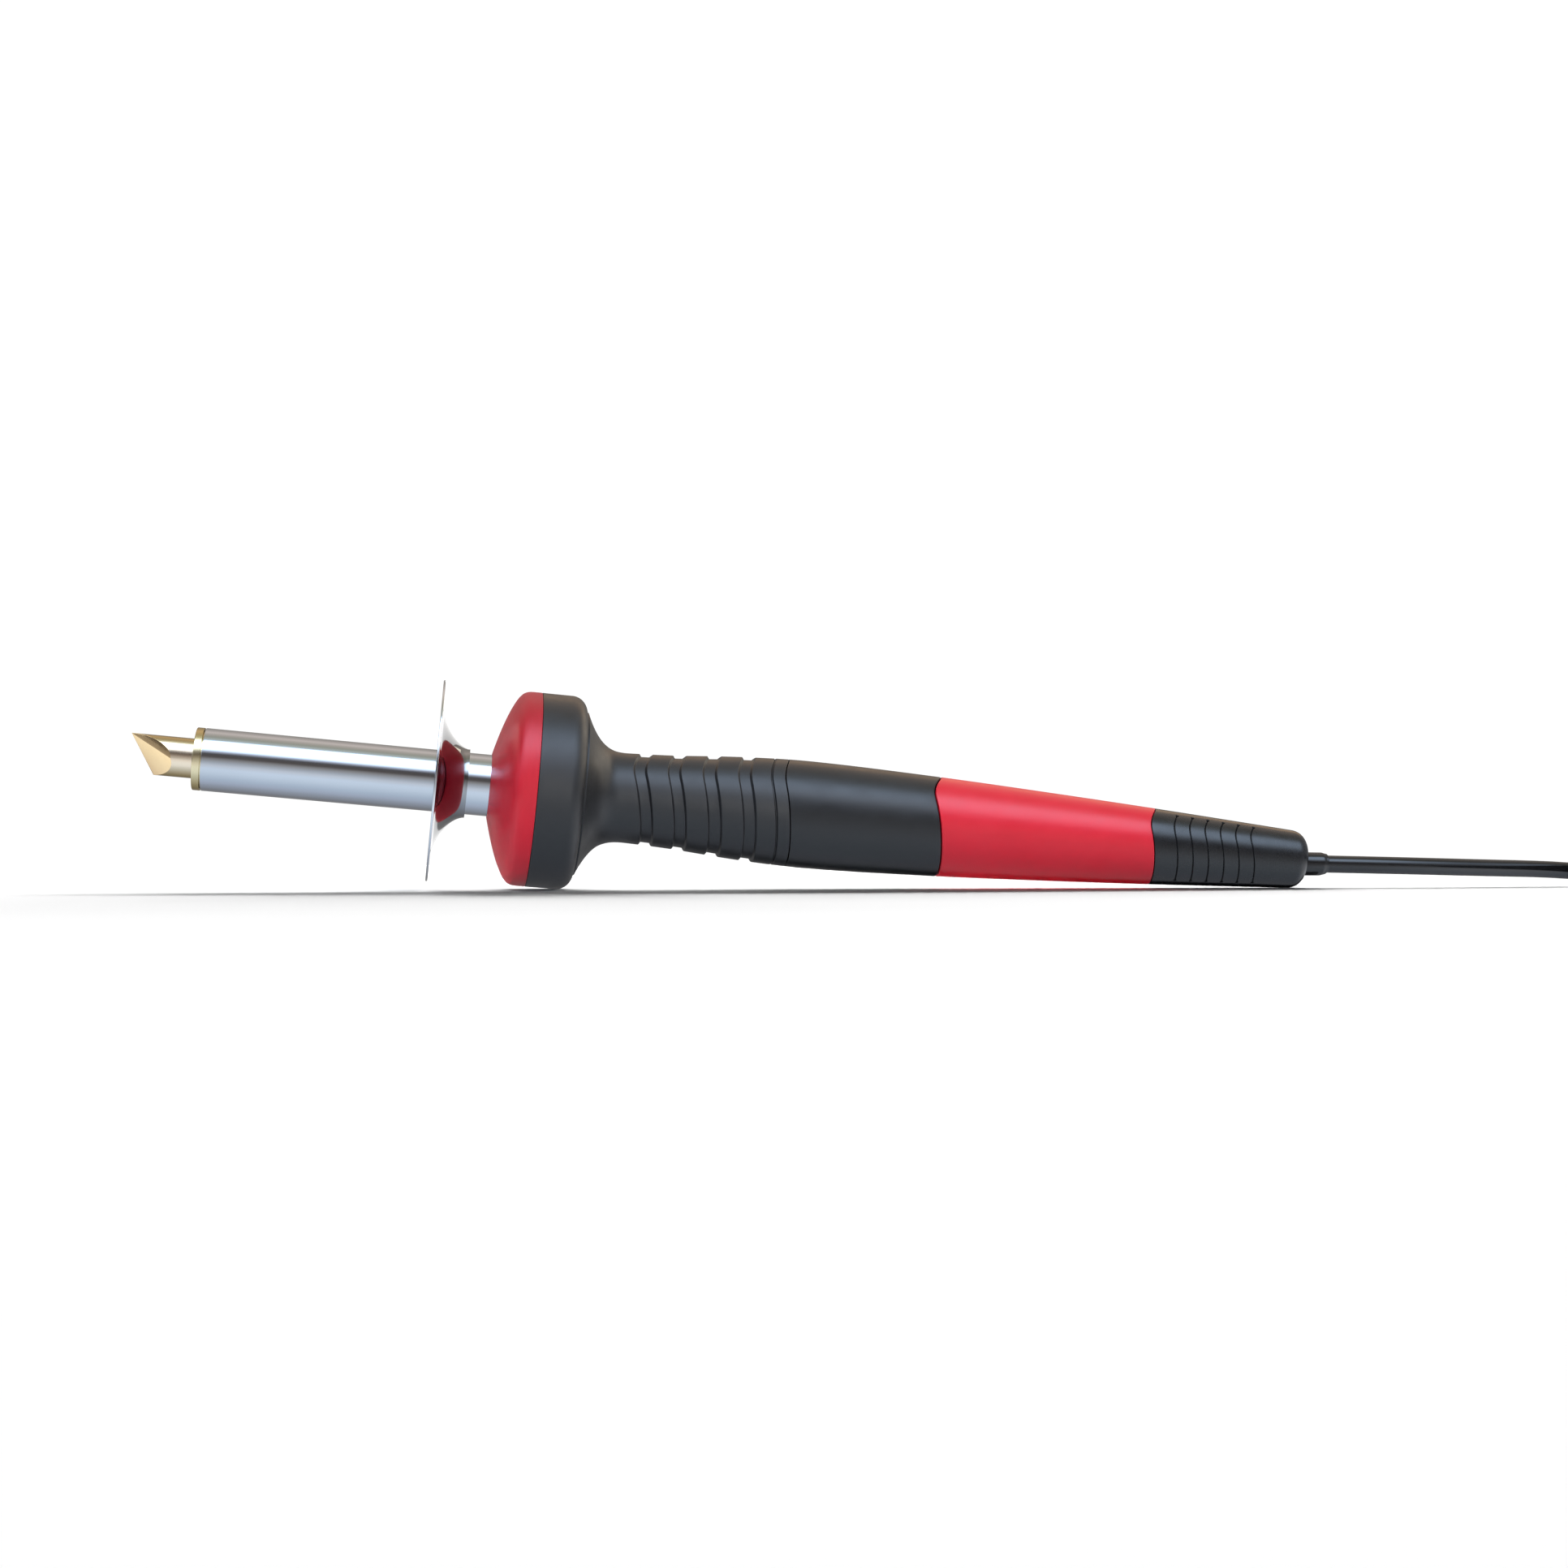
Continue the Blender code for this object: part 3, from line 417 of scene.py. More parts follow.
def woven(name, first, second, roughness):
    """A braided glass sleeve or webbing strap: crossed bands for its threads."""
    n = Nodes(name, first, roughness)
    waves = []
    for axis in ("X", "Z"):
        wave = n.add("ShaderNodeTexWave", bands_direction=axis)
        wave.inputs["Scale"].default_value = THREAD_SCALE
        wave.inputs["Distortion"].default_value = 0.6
        n.link(n.place(), wave.inputs["Vector"])
        waves.append(wave.outputs["Fac"])
    n.color(waves[0], first, second, 0.2, 0.8)
    n.bump([(waves[0], 1.0), (waves[1], 1.0)], strength=0.5, distance=0.0001)
    return n.mat


THREAD_SCALE = 2600.0 / 6.0
BLACK = rgb(0.0105, 0.0115, 0.014)
BLACK_2 = rgb(0.0135, 0.0145, 0.017)
RED = rgb(0.8, 0.012, 0.038)
RED_2 = rgb(0.84, 0.017, 0.046)

MATERIALS = {
    "grip": plastic("grip_plastic", BLACK, BLACK_2, 0.42),
    "shell": plastic("shell_plastic", BLACK, BLACK_2, 0.37, 0.2),
    "tail": plastic("tail_plastic", BLACK, BLACK_2, 0.26, 0.2),
    "cover": plastic("cover_plastic", RED, RED_2, 0.36, 0.2),
    "sleeve": plastic("sleeve_plastic", RED, RED_2, 0.33, 0.2),
    "cord": plastic("cord_rubber", rgb(0.010, 0.0105, 0.0125), rgb(0.014, 0.0145, 0.017), 0.15, 0.15),
    "plug": plastic("plug_rubber", rgb(0.013, 0.0135, 0.015), rgb(0.018, 0.0185, 0.020), 0.5, 0.5),
    # the gold on the tip and the bush carries painted shade, darker along their top and bottom
    "gold": gilt_and_edge_shade("tip_plating_edge_shade", rgb(0.88, 0.73, 0.55), rgb(0.53, 0.4, 0.18), 0.19, TIP_R),
    "facet": metal("facet_plating", rgb(0.92, 0.65, 0.35), rgb(0.87, 0.6, 0.31), 0.22, 0.03),
    "ring": gilt_and_edge_shade("ring_plating_edge_shade", rgb(0.79, 0.68, 0.43), rgb(0.55, 0.42, 0.18), 0.21, BARREL_R),
    "steel": metal("barrel_steel", rgb(0.565, 0.6, 0.65), rgb(0.55, 0.585, 0.635), 0.1, 0.02,
                   (0.3, 6.0, 6.0), 0.03),
    "guard": metal("guard_steel", rgb(0.64, 0.66, 0.69), rgb(0.61, 0.63, 0.66), 0.09, 0.02, grain=0.03),
    # the guard's own steel, darkened for its hub: painted shade that dims what the hub mirrors
    "collar": metal("collar_steel_painted_shade", rgb(0.33, 0.335, 0.345), rgb(0.3, 0.305, 0.315), 0.09, 0.02,
                    grain=0.03),
    "screw": metal("screw_steel", rgb(0.3, 0.3, 0.32), rgb(0.24, 0.24, 0.26), 0.32, 0.06, grain=0.2),
    "zinc": metal("zinc_plating", rgb(0.6, 0.61, 0.62), rgb(0.52, 0.54, 0.55), 0.32, 0.06, grain=0.2),
    "brass": metal("contact_brass", rgb(0.78, 0.68, 0.46), rgb(0.72, 0.61, 0.4), 0.26, 0.05, LENGTHWISE),
    "wire": metal("winding_wire", rgb(0.36, 0.32, 0.29), rgb(0.28, 0.25, 0.24), 0.4, 0.06),
    "nickel": metal("nickel_wire", rgb(0.6, 0.58, 0.54), rgb(0.52, 0.5, 0.47), 0.35, 0.06),
    "ceramic": ceramic("fired_ceramic", rgb(0.82, 0.79, 0.73), rgb(0.74, 0.7, 0.63), 0.65),
    "mica": ceramic("mica_wrap", rgb(0.58, 0.5, 0.38), rgb(0.46, 0.39, 0.29), 0.45, 250.0),
    "core": plastic("core_nylon", rgb(0.17, 0.17, 0.18), rgb(0.2, 0.2, 0.21), 0.55, 0.3),
    "nylon": plastic("splice_nylon", rgb(0.72, 0.69, 0.57), rgb(0.66, 0.62, 0.5), 0.45, 0.3),
    "brown": plastic("wire_brown", rgb(0.24, 0.1, 0.04), rgb(0.29, 0.13, 0.05), 0.45, 0.2),
    "blue": plastic("wire_blue", rgb(0.04, 0.11, 0.4), rgb(0.05, 0.13, 0.46), 0.45, 0.2),
    "green": plastic("wire_green", rgb(0.08, 0.32, 0.06), rgb(0.1, 0.38, 0.08), 0.45, 0.2),
    "glass": woven("glass_braid", rgb(0.78, 0.77, 0.72), rgb(0.62, 0.61, 0.56), 0.75),
    "strap": woven("tie_webbing", rgb(0.05, 0.05, 0.055), rgb(0.02, 0.02, 0.024), 0.8),
}

# CAD nodes that stay as they are, with their materials here
KEPT = {
    "ceramic": ("heater_former", "end_insulator"),
    "wire": ("heater_winding",),
    "mica": ("mica_sleeve",),
    "zinc": ("barrel_flange", "flange_screw_1", "flange_screw_2", "flange_screw_3", "clamp_screw"),
    "nickel": ("heater_lead_live", "heater_lead_neutral", "earth_lead"),
    "glass": ("lead_sleeve_live", "lead_sleeve_neutral"),
    "nylon": ("splice_live", "splice_neutral", "splice_earth"),
    "brown": ("conductor_live",),
    "blue": ("conductor_neutral",),
    "green": ("conductor_earth",),
    "core": ("handle_core",),
    "brass": ("cord_clamp",),
    "cord": ("cord_inner",),
}


def dress_kept_nodes():
    for key, names in KEPT.items():
        for name in names:
            mesh = frame["nodes"][name].data
            mesh.materials.clear()
            mesh.materials.append(MATERIALS[key])


# ---- mesh helpers

def smooth_value(stations, at):
    """A smooth curve through (place, value) stations, with slopes from their neighbours."""
    last = len(stations) - 2
    k = next((i for i in range(last) if at < stations[i + 1][0]), last)

    def slope(i):
        a, b = stations[max(i - 1, 0)], stations[min(i + 1, last + 1)]
        return (b[1] - a[1]) / (b[0] - a[0])

    (x0, y0), (x1, y1) = stations[k], stations[k + 1]
    width = x1 - x0
    t = (at - x0) / width
    return (y0 * (2 * t**3 - 3 * t**2 + 1) + y1 * (3 * t**2 - 2 * t**3)
            + slope(k) * width * (t**3 - 2 * t**2 + t) + slope(k + 1) * width * (t**3 - t**2))


def handle_r(u):
    return smooth_value(HANDLE, u)


def bore_r(u):
    t = max(0.0, (u - CORE_TAPER) / (CORE_BACK - CORE_TAPER))
    return CORE_R + (CORE_BACK_R - CORE_R) * t + GAP


def wave_of(angle, kink, drop, rise, roundness):
    """How far a part line lies towards the tail at an angle (degrees) from the top."""
    if angle < kink:
        return -drop * math.sin(math.pi / 2 * angle / kink) ** 2
    t = (angle - kink) / (180.0 - kink)
    share = (1 - roundness) * t + roundness * math.sin(math.pi / 2 * t)
    return -drop + (drop + rise) * share


KINK_HALF = 7.0  # degrees either side over which the kink is rounded
KINK_SPAN = (15.0, 165.0)  # degrees from the top between which it is rounded


def wave_shift(u, angle):
    """The same anywhere along the handle, with the kink eased over a few degrees."""
    if u <= WAVES[0][0] or u >= WAVES[-1][0]:
        return 0.0
    k = next(i for i in range(len(WAVES) - 1) if u < WAVES[i + 1][0])
    low, high = WAVES[k], WAVES[k + 1]
    t = (u - low[0]) / (high[0] - low[0])
    total = 0.0
    for offset in (-1.0, -0.5, 0.0, 0.5, 1.0):
        at = angle
        if KINK_SPAN[0] < angle < KINK_SPAN[1]:
            at = min(180.0, max(0.0, angle + offset * KINK_HALF))
        total += (1 - t) * wave_of(at, *low[1:]) + t * wave_of(at, *high[1:])
    return total / 5


ROUND_STEPS = 4


def rounded(points):
    """An outline whose (u, r, radius) corners are rounded by short arcs."""
    out = []
    count = len(points)
    for i, point in enumerate(points):
        here = np.array(point[:2])
        size = point[2] if len(point) > 2 else 0.0
        if not size:
            out.append(tuple(here))
            continue
        back = np.array(points[i - 1][:2]) - here
        ahead = np.array(points[(i + 1) % count][:2]) - here
        room = 0.45 * min(np.linalg.norm(back), np.linalg.norm(ahead))
        size = min(size, room)
        a = here + back / np.linalg.norm(back) * size
        b = here + ahead / np.linalg.norm(ahead) * size
        for s in range(ROUND_STEPS + 1):
            t = s / ROUND_STEPS
            out.append(tuple((1 - t) ** 2 * a + 2 * t * (1 - t) * here + t * t * b))
    return out


def thick(points, longest):
    """The outline with stations added so that no step along u is longer than the limit."""
    out = []
    for (u0, r0), (u1, r1) in zip(points, points[1:]):
        count = max(1, math.ceil(abs(u1 - u0) / longest))
        out += [(u0 + (u1 - u0) * k / count, r0 + (r1 - r0) * k / count) for k in range(count)]
    return out + [points[-1]]


def new_mesh(name, verts, faces):
    mesh = bpy.data.meshes.new(name)
    mesh.from_pydata([tuple(v) for v in verts], [], faces)
    return mesh


def face_outwards(mesh):
    bm = bmesh.new()
    bm.from_mesh(mesh)
    bmesh.ops.recalc_face_normals(bm, faces=bm.faces)
    bm.to_mesh(mesh)
    bm.free()


def add_piece(name, mesh, mat, body="iron", angle=SHARP):
    """A mesh in metres becomes a piece that rides on a body and stands for the CAD node of its name."""
    mesh.validate()
    face_outwards(mesh)
    mesh.shade_smooth()
    mesh.set_sharp_from_angle(angle=math.radians(angle))
    obj = new_object(name, mesh)
    mesh.materials.append(mat)
    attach(obj, body)
    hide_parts(name)
    return obj


def second_material(obj, key, wanted):
    """Another material on the faces that pass a test of their middle and normal along the iron's axis."""
    obj.data.materials.append(MATERIALS[key])
    to_axis = LAY.inverted()
    for face in obj.data.polygons:
        face.material_index = int(wanted(to_axis @ face.center, to_axis.to_3x3() @ face.normal))


def spun(outline, segments, warp, lay):
    """Vertices and faces of a closed outline of (u, r) stations spun round the iron's axis."""
    angles = np.arange(segments) * (2 * math.pi / segments)
    verts, rings = [], []
    for u, r in outline:
        if r < 1e-9:
            rings.append([len(verts)] * segments)
            verts.append(lay @ Vector((u * MM, 0.0, 0.0)))
            continue
        ring = []
        for a in angles:
            at_u, at_r = (u, r) if warp is None else warp(u, r, a)
            ring.append(len(verts))
            verts.append(lay @ (Vector((at_u, at_r * math.sin(a), at_r * math.cos(a))) * MM))
        rings.append(ring)
    faces = []
    for i, ring in enumerate(rings):
        after = rings[(i + 1) % len(rings)]
        for j in range(segments):
            k = (j + 1) % segments
            corners = [ring[j], ring[k], after[k], after[j]]
            face = [c for n, c in enumerate(corners) if c not in corners[:n]]
            if len(face) > 2:
                faces.append(face)
    return verts, faces


def turned(name, outline, mat, segments=128, body="iron", warp=None, lay=LAY, angle=SHARP):
    return add_piece(name, new_mesh(name, *spun(outline, segments, warp, lay)), mat, body, angle)


def cut(target, cutters):
    """Exact Boolean differences, applied to the mesh."""
    for tool in cutters:
        modifier = target.modifiers.new("cut", "BOOLEAN")
        modifier.operation = "DIFFERENCE"
        modifier.solver = "EXACT"
        modifier.object = tool
    graph = bpy.context.evaluated_depsgraph_get()
    done = bpy.data.meshes.new_from_object(target.evaluated_get(graph))
    target.modifiers.clear()
    target.data = done
    done.set_sharp_from_angle(angle=math.radians(SHARP))
    for tool in cutters:
        bpy.data.objects.remove(tool, do_unlink=True)


def bar(front, back, radius, segments, place):
    """A round or many-sided cutter along the X axis of the given placement."""
    outline = [(front, 0.0), (front, radius), (back, radius), (back, 0.0)]
    mesh = new_mesh("cutter", *spun(outline, segments, None, place))
    face_outwards(mesh)
    return new_object("cutter", mesh)


# the set screw's own axis, out of the barrel's side
ACROSS = LAY @ Matrix.Translation((SET_SCREW_U * MM, 0.0, 0.0)) @ Matrix.Rotation(math.pi / 2, 4, "Z")


# ---- cord

def on_axis(u, up):
    """The place of a point in the iron's own frame, in millimetres."""
    return LAY @ Vector((u * MM, 0.0, up * MM)) / MM


def smooth_path(points, step):
    """Points about step apart on a smooth curve through the given points."""
    along = [0.0]
    for a, b in zip(points, points[1:]):
        along.append(along[-1] + (Vector(b) - Vector(a)).length)
    count = max(2, round(along[-1] / step) + 1)
    places = [along[-1] * i / (count - 1) for i in range(count)]
    return [Vector([smooth_value([(s, p[k]) for s, p in zip(along, points)], at) for k in range(3)])
            for at in places]


def straight_run():
    """The stretch from the strain relief to the coil, down to where the cord lies."""
    start = on_axis(EXIT_U, EXIT_UP)
    ahead = Vector((1.0, 0.0, -EXIT_FALL)).normalized()
    route = [tuple(start), tuple(start + ahead * EXIT_STRAIGHT)]
    route += [(start.x + x, y, z) for x, y, z in CORD_ROUTE]
    low = COIL_Z + TURN / 2
    end = COIL_X - COIL_ENTRY
    route += [(end - LANDING, CORD_Y, low + LANDING_RISE), (end, CORD_Y, low)]
    return [start - ahead * EXIT_INSIDE] + smooth_path(route, 6.0)


# The turns' places in the coil's section, (column outwards, layer), each next to the last
CELLS = [(1, -1), (0, -1), (-1, -1), (-1, 0), (-1, 1), (0, 1), (0, 0), (1, 0), (1, 1)]
# where in its turn, in sixths, the cord passes from each place to the next
PASSING = [5, 5, 4, 4, 3, 2, 1, 0]
POINTS_PER_TURN = 60


def eased(t):
    t = min(1.0, max(0.0, t))
    return t * t * t * (t * (6 * t - 15) + 10)


def coil_run():
    """Eight turns, clockwise from above, that fill the coil's section side by side."""
    points = []
    middle_z = COIL_Z + 1.5 * TURN
    for turn in range(len(PASSING)):
        for i in range(POINTS_PER_TURN):
            share = i / POINTS_PER_TURN
            t = eased(share * 6 - PASSING[turn])
            (c0, l0), (c1, l1) = CELLS[turn], CELLS[turn + 1]
            r = COIL_R + TURN * (c0 + (c1 - c0) * t)
            z = middle_z + TURN * (l0 + (l1 - l0) * t)
            a = 2 * math.pi * share
            points.append(Vector((COIL_X + r * math.sin(a), COIL_Y + r * math.cos(a), z)))
    return points


def make_cord():
    lead_end = PLUG_RELIEF_X + 2.0
    top = COIL_Z + 2.5 * TURN
    lead = [Vector((COIL_X + x, CORD_Y, top + (PLUG_LEAD_Z - top) * eased(x / 16)))
            for x in (0.0, 5.0, 10.0, 16.0, 20.0, lead_end - COIL_X)]
    points = straight_run() + [Vector((COIL_X - x, CORD_Y, COIL_Z + TURN / 2)) for x in (12.0, 6.0)]
    points += coil_run() + lead
    curve = bpy.data.curves.new("cord", "CURVE")
    curve.dimensions = "3D"
    curve.bevel_depth = CORD_R * MM
    curve.bevel_resolution = 8
    curve.use_fill_caps = True
    spline = curve.splines.new("POLY")
    spline.points.add(len(points) - 1)
    for place, p in zip(spline.points, points):
        place.co = (*(p * MM), 1.0)
    spline.use_smooth = True
    cord = new_object("cord", curve)
    curve.materials.append(MATERIALS["cord"])
    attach(cord, "iron")
    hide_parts("power_cord", "cord_coil", "plug_lead")
    return cord


cord = make_cord()


# ---- plug and tie

def block(name, size, centre, bevel, mat, segments=4):
    """A box with rounded edges."""
    bm = bmesh.new()
    bmesh.ops.create_cube(bm, size=1.0)
    bmesh.ops.scale(bm, vec=Vector(size) * MM, verts=bm.verts)
    bmesh.ops.translate(bm, vec=Vector(centre) * MM, verts=bm.verts)
    bmesh.ops.bevel(bm, geom=bm.edges[:], offset=bevel * MM, segments=segments, profile=0.5, affect="EDGES")
    mesh = bpy.data.meshes.new(name)
    bm.to_mesh(mesh)
    bm.free()
    return add_piece(name, mesh, mat)


def make_plug():
    rubber, brass = MATERIALS["plug"], MATERIALS["brass"]

    def at(x, y, z):
        return Matrix.Translation(Vector((x, y, z)) * MM)

    # slots round a cone, which leave ribs between them
    outline = [(0.0, RELIEF_BORE), (0.0, RELIEF_R - 0.3), (0.4, RELIEF_R)]
    for k in range(RELIEF_SLOTS):
        u = RELIEF_SLOT_FROM + RELIEF_SLOT_STEP * k
        r = RELIEF_R + RELIEF_GROWTH * u / PLUG_RELIEF_LENGTH
        outline += [(u + du, r + dr) for du, dr in RELIEF_SLOT]
    outline += [(PLUG_RELIEF_LENGTH, RELIEF_R + RELIEF_GROWTH), (PLUG_RELIEF_LENGTH, RELIEF_BORE)]
    relief = turned("plug_relief", outline, rubber, segments=48, lay=at(PLUG_RELIEF_X, CORD_Y, PLUG_LEAD_Z))
    centre = (PLUG_X + PLUG_SIZE[0] / 2, CORD_Y, PLUG_SIZE[2] / 2)
    body = block("plug_body", PLUG_SIZE, centre, PLUG_ROUND, rubber, segments=5)
    # finger grooves across both sides
    x, y, z = GROOVE_AT
    upright = Matrix.Rotation(-math.pi / 2, 4, "Y")
    cut(body, [bar(0.0, GROOVE_LENGTH, GROOVE_R, 24,
                   at(PLUG_X + x + GROOVE_STEP * k, CORD_Y + side * y, z) @ upright)
               for side in (-1, 1) for k in range(GROOVES)])
    face = PLUG_X + PLUG_SIZE[0] + GAP
    parts = [relief, body]
    for side, name in ((1, "plug_blade_live"), (-1, "plug_blade_neutral")):
        centre = (face + BLADE[0] / 2, CORD_Y + side * BLADE_Y, BLADE_Z)
        blade = block(name, BLADE, centre, BLADE_ROUND, brass)
        hole = at(face + BLADE[0] - BLADE_HOLE_IN, CORD_Y + side * BLADE_Y, BLADE_Z)
        cut(blade, [bar(-2.0, 2.0, BLADE_HOLE_R, 32, hole @ Matrix.Rotation(math.pi / 2, 4, "Z"))])
        parts.append(blade)
    pin = rounded([(face, 0.0), (face, PIN_R, 0.2), (face + PIN_LENGTH - 0.8, PIN_R, 0.8),
                   (face + PIN_LENGTH, 1.3, 0.6), (face + PIN_LENGTH, 0.0)])
    parts.append(turned("plug_earth_pin", pin, brass, segments=48, lay=at(0.0, CORD_Y, BLADE_Z - PIN_DROP)))
    return parts


TIE_SHEET = 0.9
TIE_WIDTH = 6.0
TIE_SLACK = 0.3
TIE_CORNER = 2.6


def make_tie():
    """A webbing strap round the turns, with rounded corners."""
    half_z = 1.5 * TURN + GAP + TIE_SHEET
    half_y = half_z + TIE_SLACK
    y, z = COIL_Y - COIL_R, COIL_Z + 1.5 * TURN

    def ring(shrink, corner):
        points = []
        for k, (sy, sz) in enumerate(((1, 1), (-1, 1), (-1, -1), (1, -1))):
            for s in range(7):
                a = math.radians(90 * k + 15 * s)
                cy = sy * (half_y - shrink - corner)
                cz = sz * (half_z - shrink - corner)
                points.append((y + cy + corner * math.cos(a), z + cz + corner * math.sin(a)))
        return points

    outer, inner = ring(0.0, TIE_CORNER), ring(TIE_SHEET, TIE_CORNER - TIE_SHEET)
    count = len(outer)
    sides = (COIL_X - TIE_WIDTH / 2, COIL_X + TIE_WIDTH / 2)
    verts = [Vector((x, *p)) * MM for loop in (outer, inner) for x in sides for p in loop]
    faces = []
    for j in range(count):
        k = (j + 1) % count
        a, b, c, d = (n * count for n in range(4))
        faces += [(a + j, a + k, b + k, b + j), (c + j, d + j, d + k, c + k),
                  (a + j, c + j, c + k, a + k), (b + j, b + k, d + k, d + j)]
    return add_piece("coil_tie", new_mesh("coil_tie", verts, faces), MATERIALS["strap"])


# ---- tip end

def make_tip():
    """A round bar whose point is left by slanting planes, its edges barely broken."""
    bm = bmesh.new()
    verts, faces = spun([(0.0, 0.0), (0.0, TIP_R), (TIP_BACK - TIP_CHAMFER, TIP_R),
                         (TIP_BACK, TIP_R - TIP_CHAMFER), (TIP_BACK, 0.0)], 128, None, Matrix.Identity(4))
    made = [bm.verts.new(v) for v in verts]
    for face in faces:
        bm.faces.new([made[i] for i in face])
    bmesh.ops.remove_doubles(bm, verts=bm.verts, dist=1e-8)
    for a, b in (*FACETS, TIP_FOLD):
        for side in (-1, 1):
            rim = bmesh.ops.bisect_plane(
                bm, geom=bm.verts[:] + bm.edges[:] + bm.faces[:], dist=1e-8,
                plane_co=Vector((0.0, 0.0, TIP_R)) * MM, plane_no=Vector((-a, side, -b)), clear_outer=True)
            edges = [g for g in rim["geom_cut"] if isinstance(g, bmesh.types.BMEdge)]
            bmesh.ops.edgenet_fill(bm, edges=edges)
    bmesh.ops.remove_doubles(bm, verts=bm.verts, dist=2e-7)
    bmesh.ops.recalc_face_normals(bm, faces=bm.faces)
    # the cut edges, which are not the bar's own long sides
    sharp = [e for e in bm.edges
             if len(e.link_faces) == 2 and e.calc_face_angle(0.0) > math.radians(TIP_CREASE)]
    bmesh.ops.bevel(bm, geom=sharp, offset=TIP_EDGE * MM, segments=2, profile=0.5, affect="EDGES",
                    clamp_overlap=True)
    bmesh.ops.transform(bm, matrix=LAY, verts=bm.verts)
    mesh = bpy.data.meshes.new("soldering_tip")
    bm.to_mesh(mesh)
    bm.free()
    tip = add_piece("soldering_tip", mesh, MATERIALS["gold"], "tip", 20.0)
    second_material(tip, "facet", lambda middle, normal: normal.x < -0.1)


def make_barrel_end():
    bush = rounded([(RING_FRONT, BUSH_BORE, 0.15), (RING_FRONT, BARREL_R, 0.22),
                    (RING_BACK, BARREL_R, 0.08), (RING_BACK, BUSH_R),
                    (BUSH_BACK, BUSH_R), (BUSH_BACK, BUSH_BORE)])
    ring = turned("tip_bush", thick(bush, 4.0), MATERIALS["ring"])
    tube = rounded([(RING_BACK + GAP, BARREL_BORE), (RING_BACK + GAP, BARREL_R, 0.12),
                    (BARREL_BACK, BARREL_R), (BARREL_BACK, BARREL_BORE)])
    barrel = turned("barrel", thick(tube, 8.0), MATERIALS["steel"])
    for piece in (ring, barrel):
        cut(piece, [bar(0.0, SET_SCREW_HOLE, SET_SCREW_R + SET_SCREW_CLEARANCE, 48, ACROSS)])
    front = TIP_R + GAP
    back = front + SET_SCREW_LENGTH
    outline = rounded([(front, 0.0), (front, SET_SCREW_POINT_R),
                       (front + SET_SCREW_POINT, SET_SCREW_R, 0.1), (back, SET_SCREW_R, 0.25), (back, 0.0)])
    screw = turned("tip_set_screw", outline, MATERIALS["screw"], segments=48, body="set_screw", lay=ACROSS)
    cut(screw, [bar(back - SOCKET_DEPTH, back + 1.0, SOCKET_R, 6, ACROSS)])


def make_guard():
    """A disc whose sheet runs back into a flared hub round the barrel."""
    back = GUARD_U + GUARD_SHEET
    reach = COLLAR_LENGTH - GUARD_SHEET
    behind, ahead = [], []
    for i in range(COLLAR_STEPS + 1):
        t = i / COLLAR_STEPS
        a = math.pi / 2 * t
        u = back + reach * (1 - math.sin(a) ** COLLAR_CURVE)
        r = COLLAR_BORE + COLLAR_RISE * (1 - math.cos(a) ** COLLAR_CURVE)
        behind.append((u, r + GUARD_SHEET * (1 - t)))
        ahead.append((u - GUARD_SHEET * t, r))
    rim = rounded([behind[-1], (back, GUARD_R, 0.2), (GUARD_U, GUARD_R, 0.2), ahead[-1]])[1:-1]
    guard = turned("heat_guard", behind + rim + ahead[::-1], MATERIALS["guard"], segments=160, angle=50.0)
    # the hub takes the darkened copy of the guard's steel: painted shade
    second_material(guard, "collar", lambda middle, normal: middle.x > (back + 0.3) * MM)


# ---- nose and handle

def make_cover():
    a, b, c = COVER_CONE
    cone = [(COVER_FRONT + x, a + b * x + c * x * x) for x in np.linspace(0.0, COVER_CONE_LENGTH, 24)]
    edge = rounded([(COVER_FULL, NOSE_R), (COVER_BACK, NOSE_R, NOSE_LINE_EDGE),
                    (COVER_BACK, NOSE_R - COVER_WALL)])
    mouth = [(COVER_FRONT + COVER_LIP, COLLAR_BORE)]
    turned("front_cover", cone + COVER_RIM + edge + COVER_INSIDE + mouth, MATERIALS["cover"], segments=192)


SKIN = 1.2  # nothing on the outside goes this deep


def from_top(a):
    """Degrees from the top, the same on both sides."""
    return math.degrees(math.acos(math.cos(a)))


def warped(u, r, a):
    """A station moved along the axis by the wave; a bore keeps its clearance to the core."""
    shift = wave_shift(u, from_top(a))
    if shift and r < handle_r(u) - SKIN:
        r = bore_r(u + shift)
    return u + shift, r


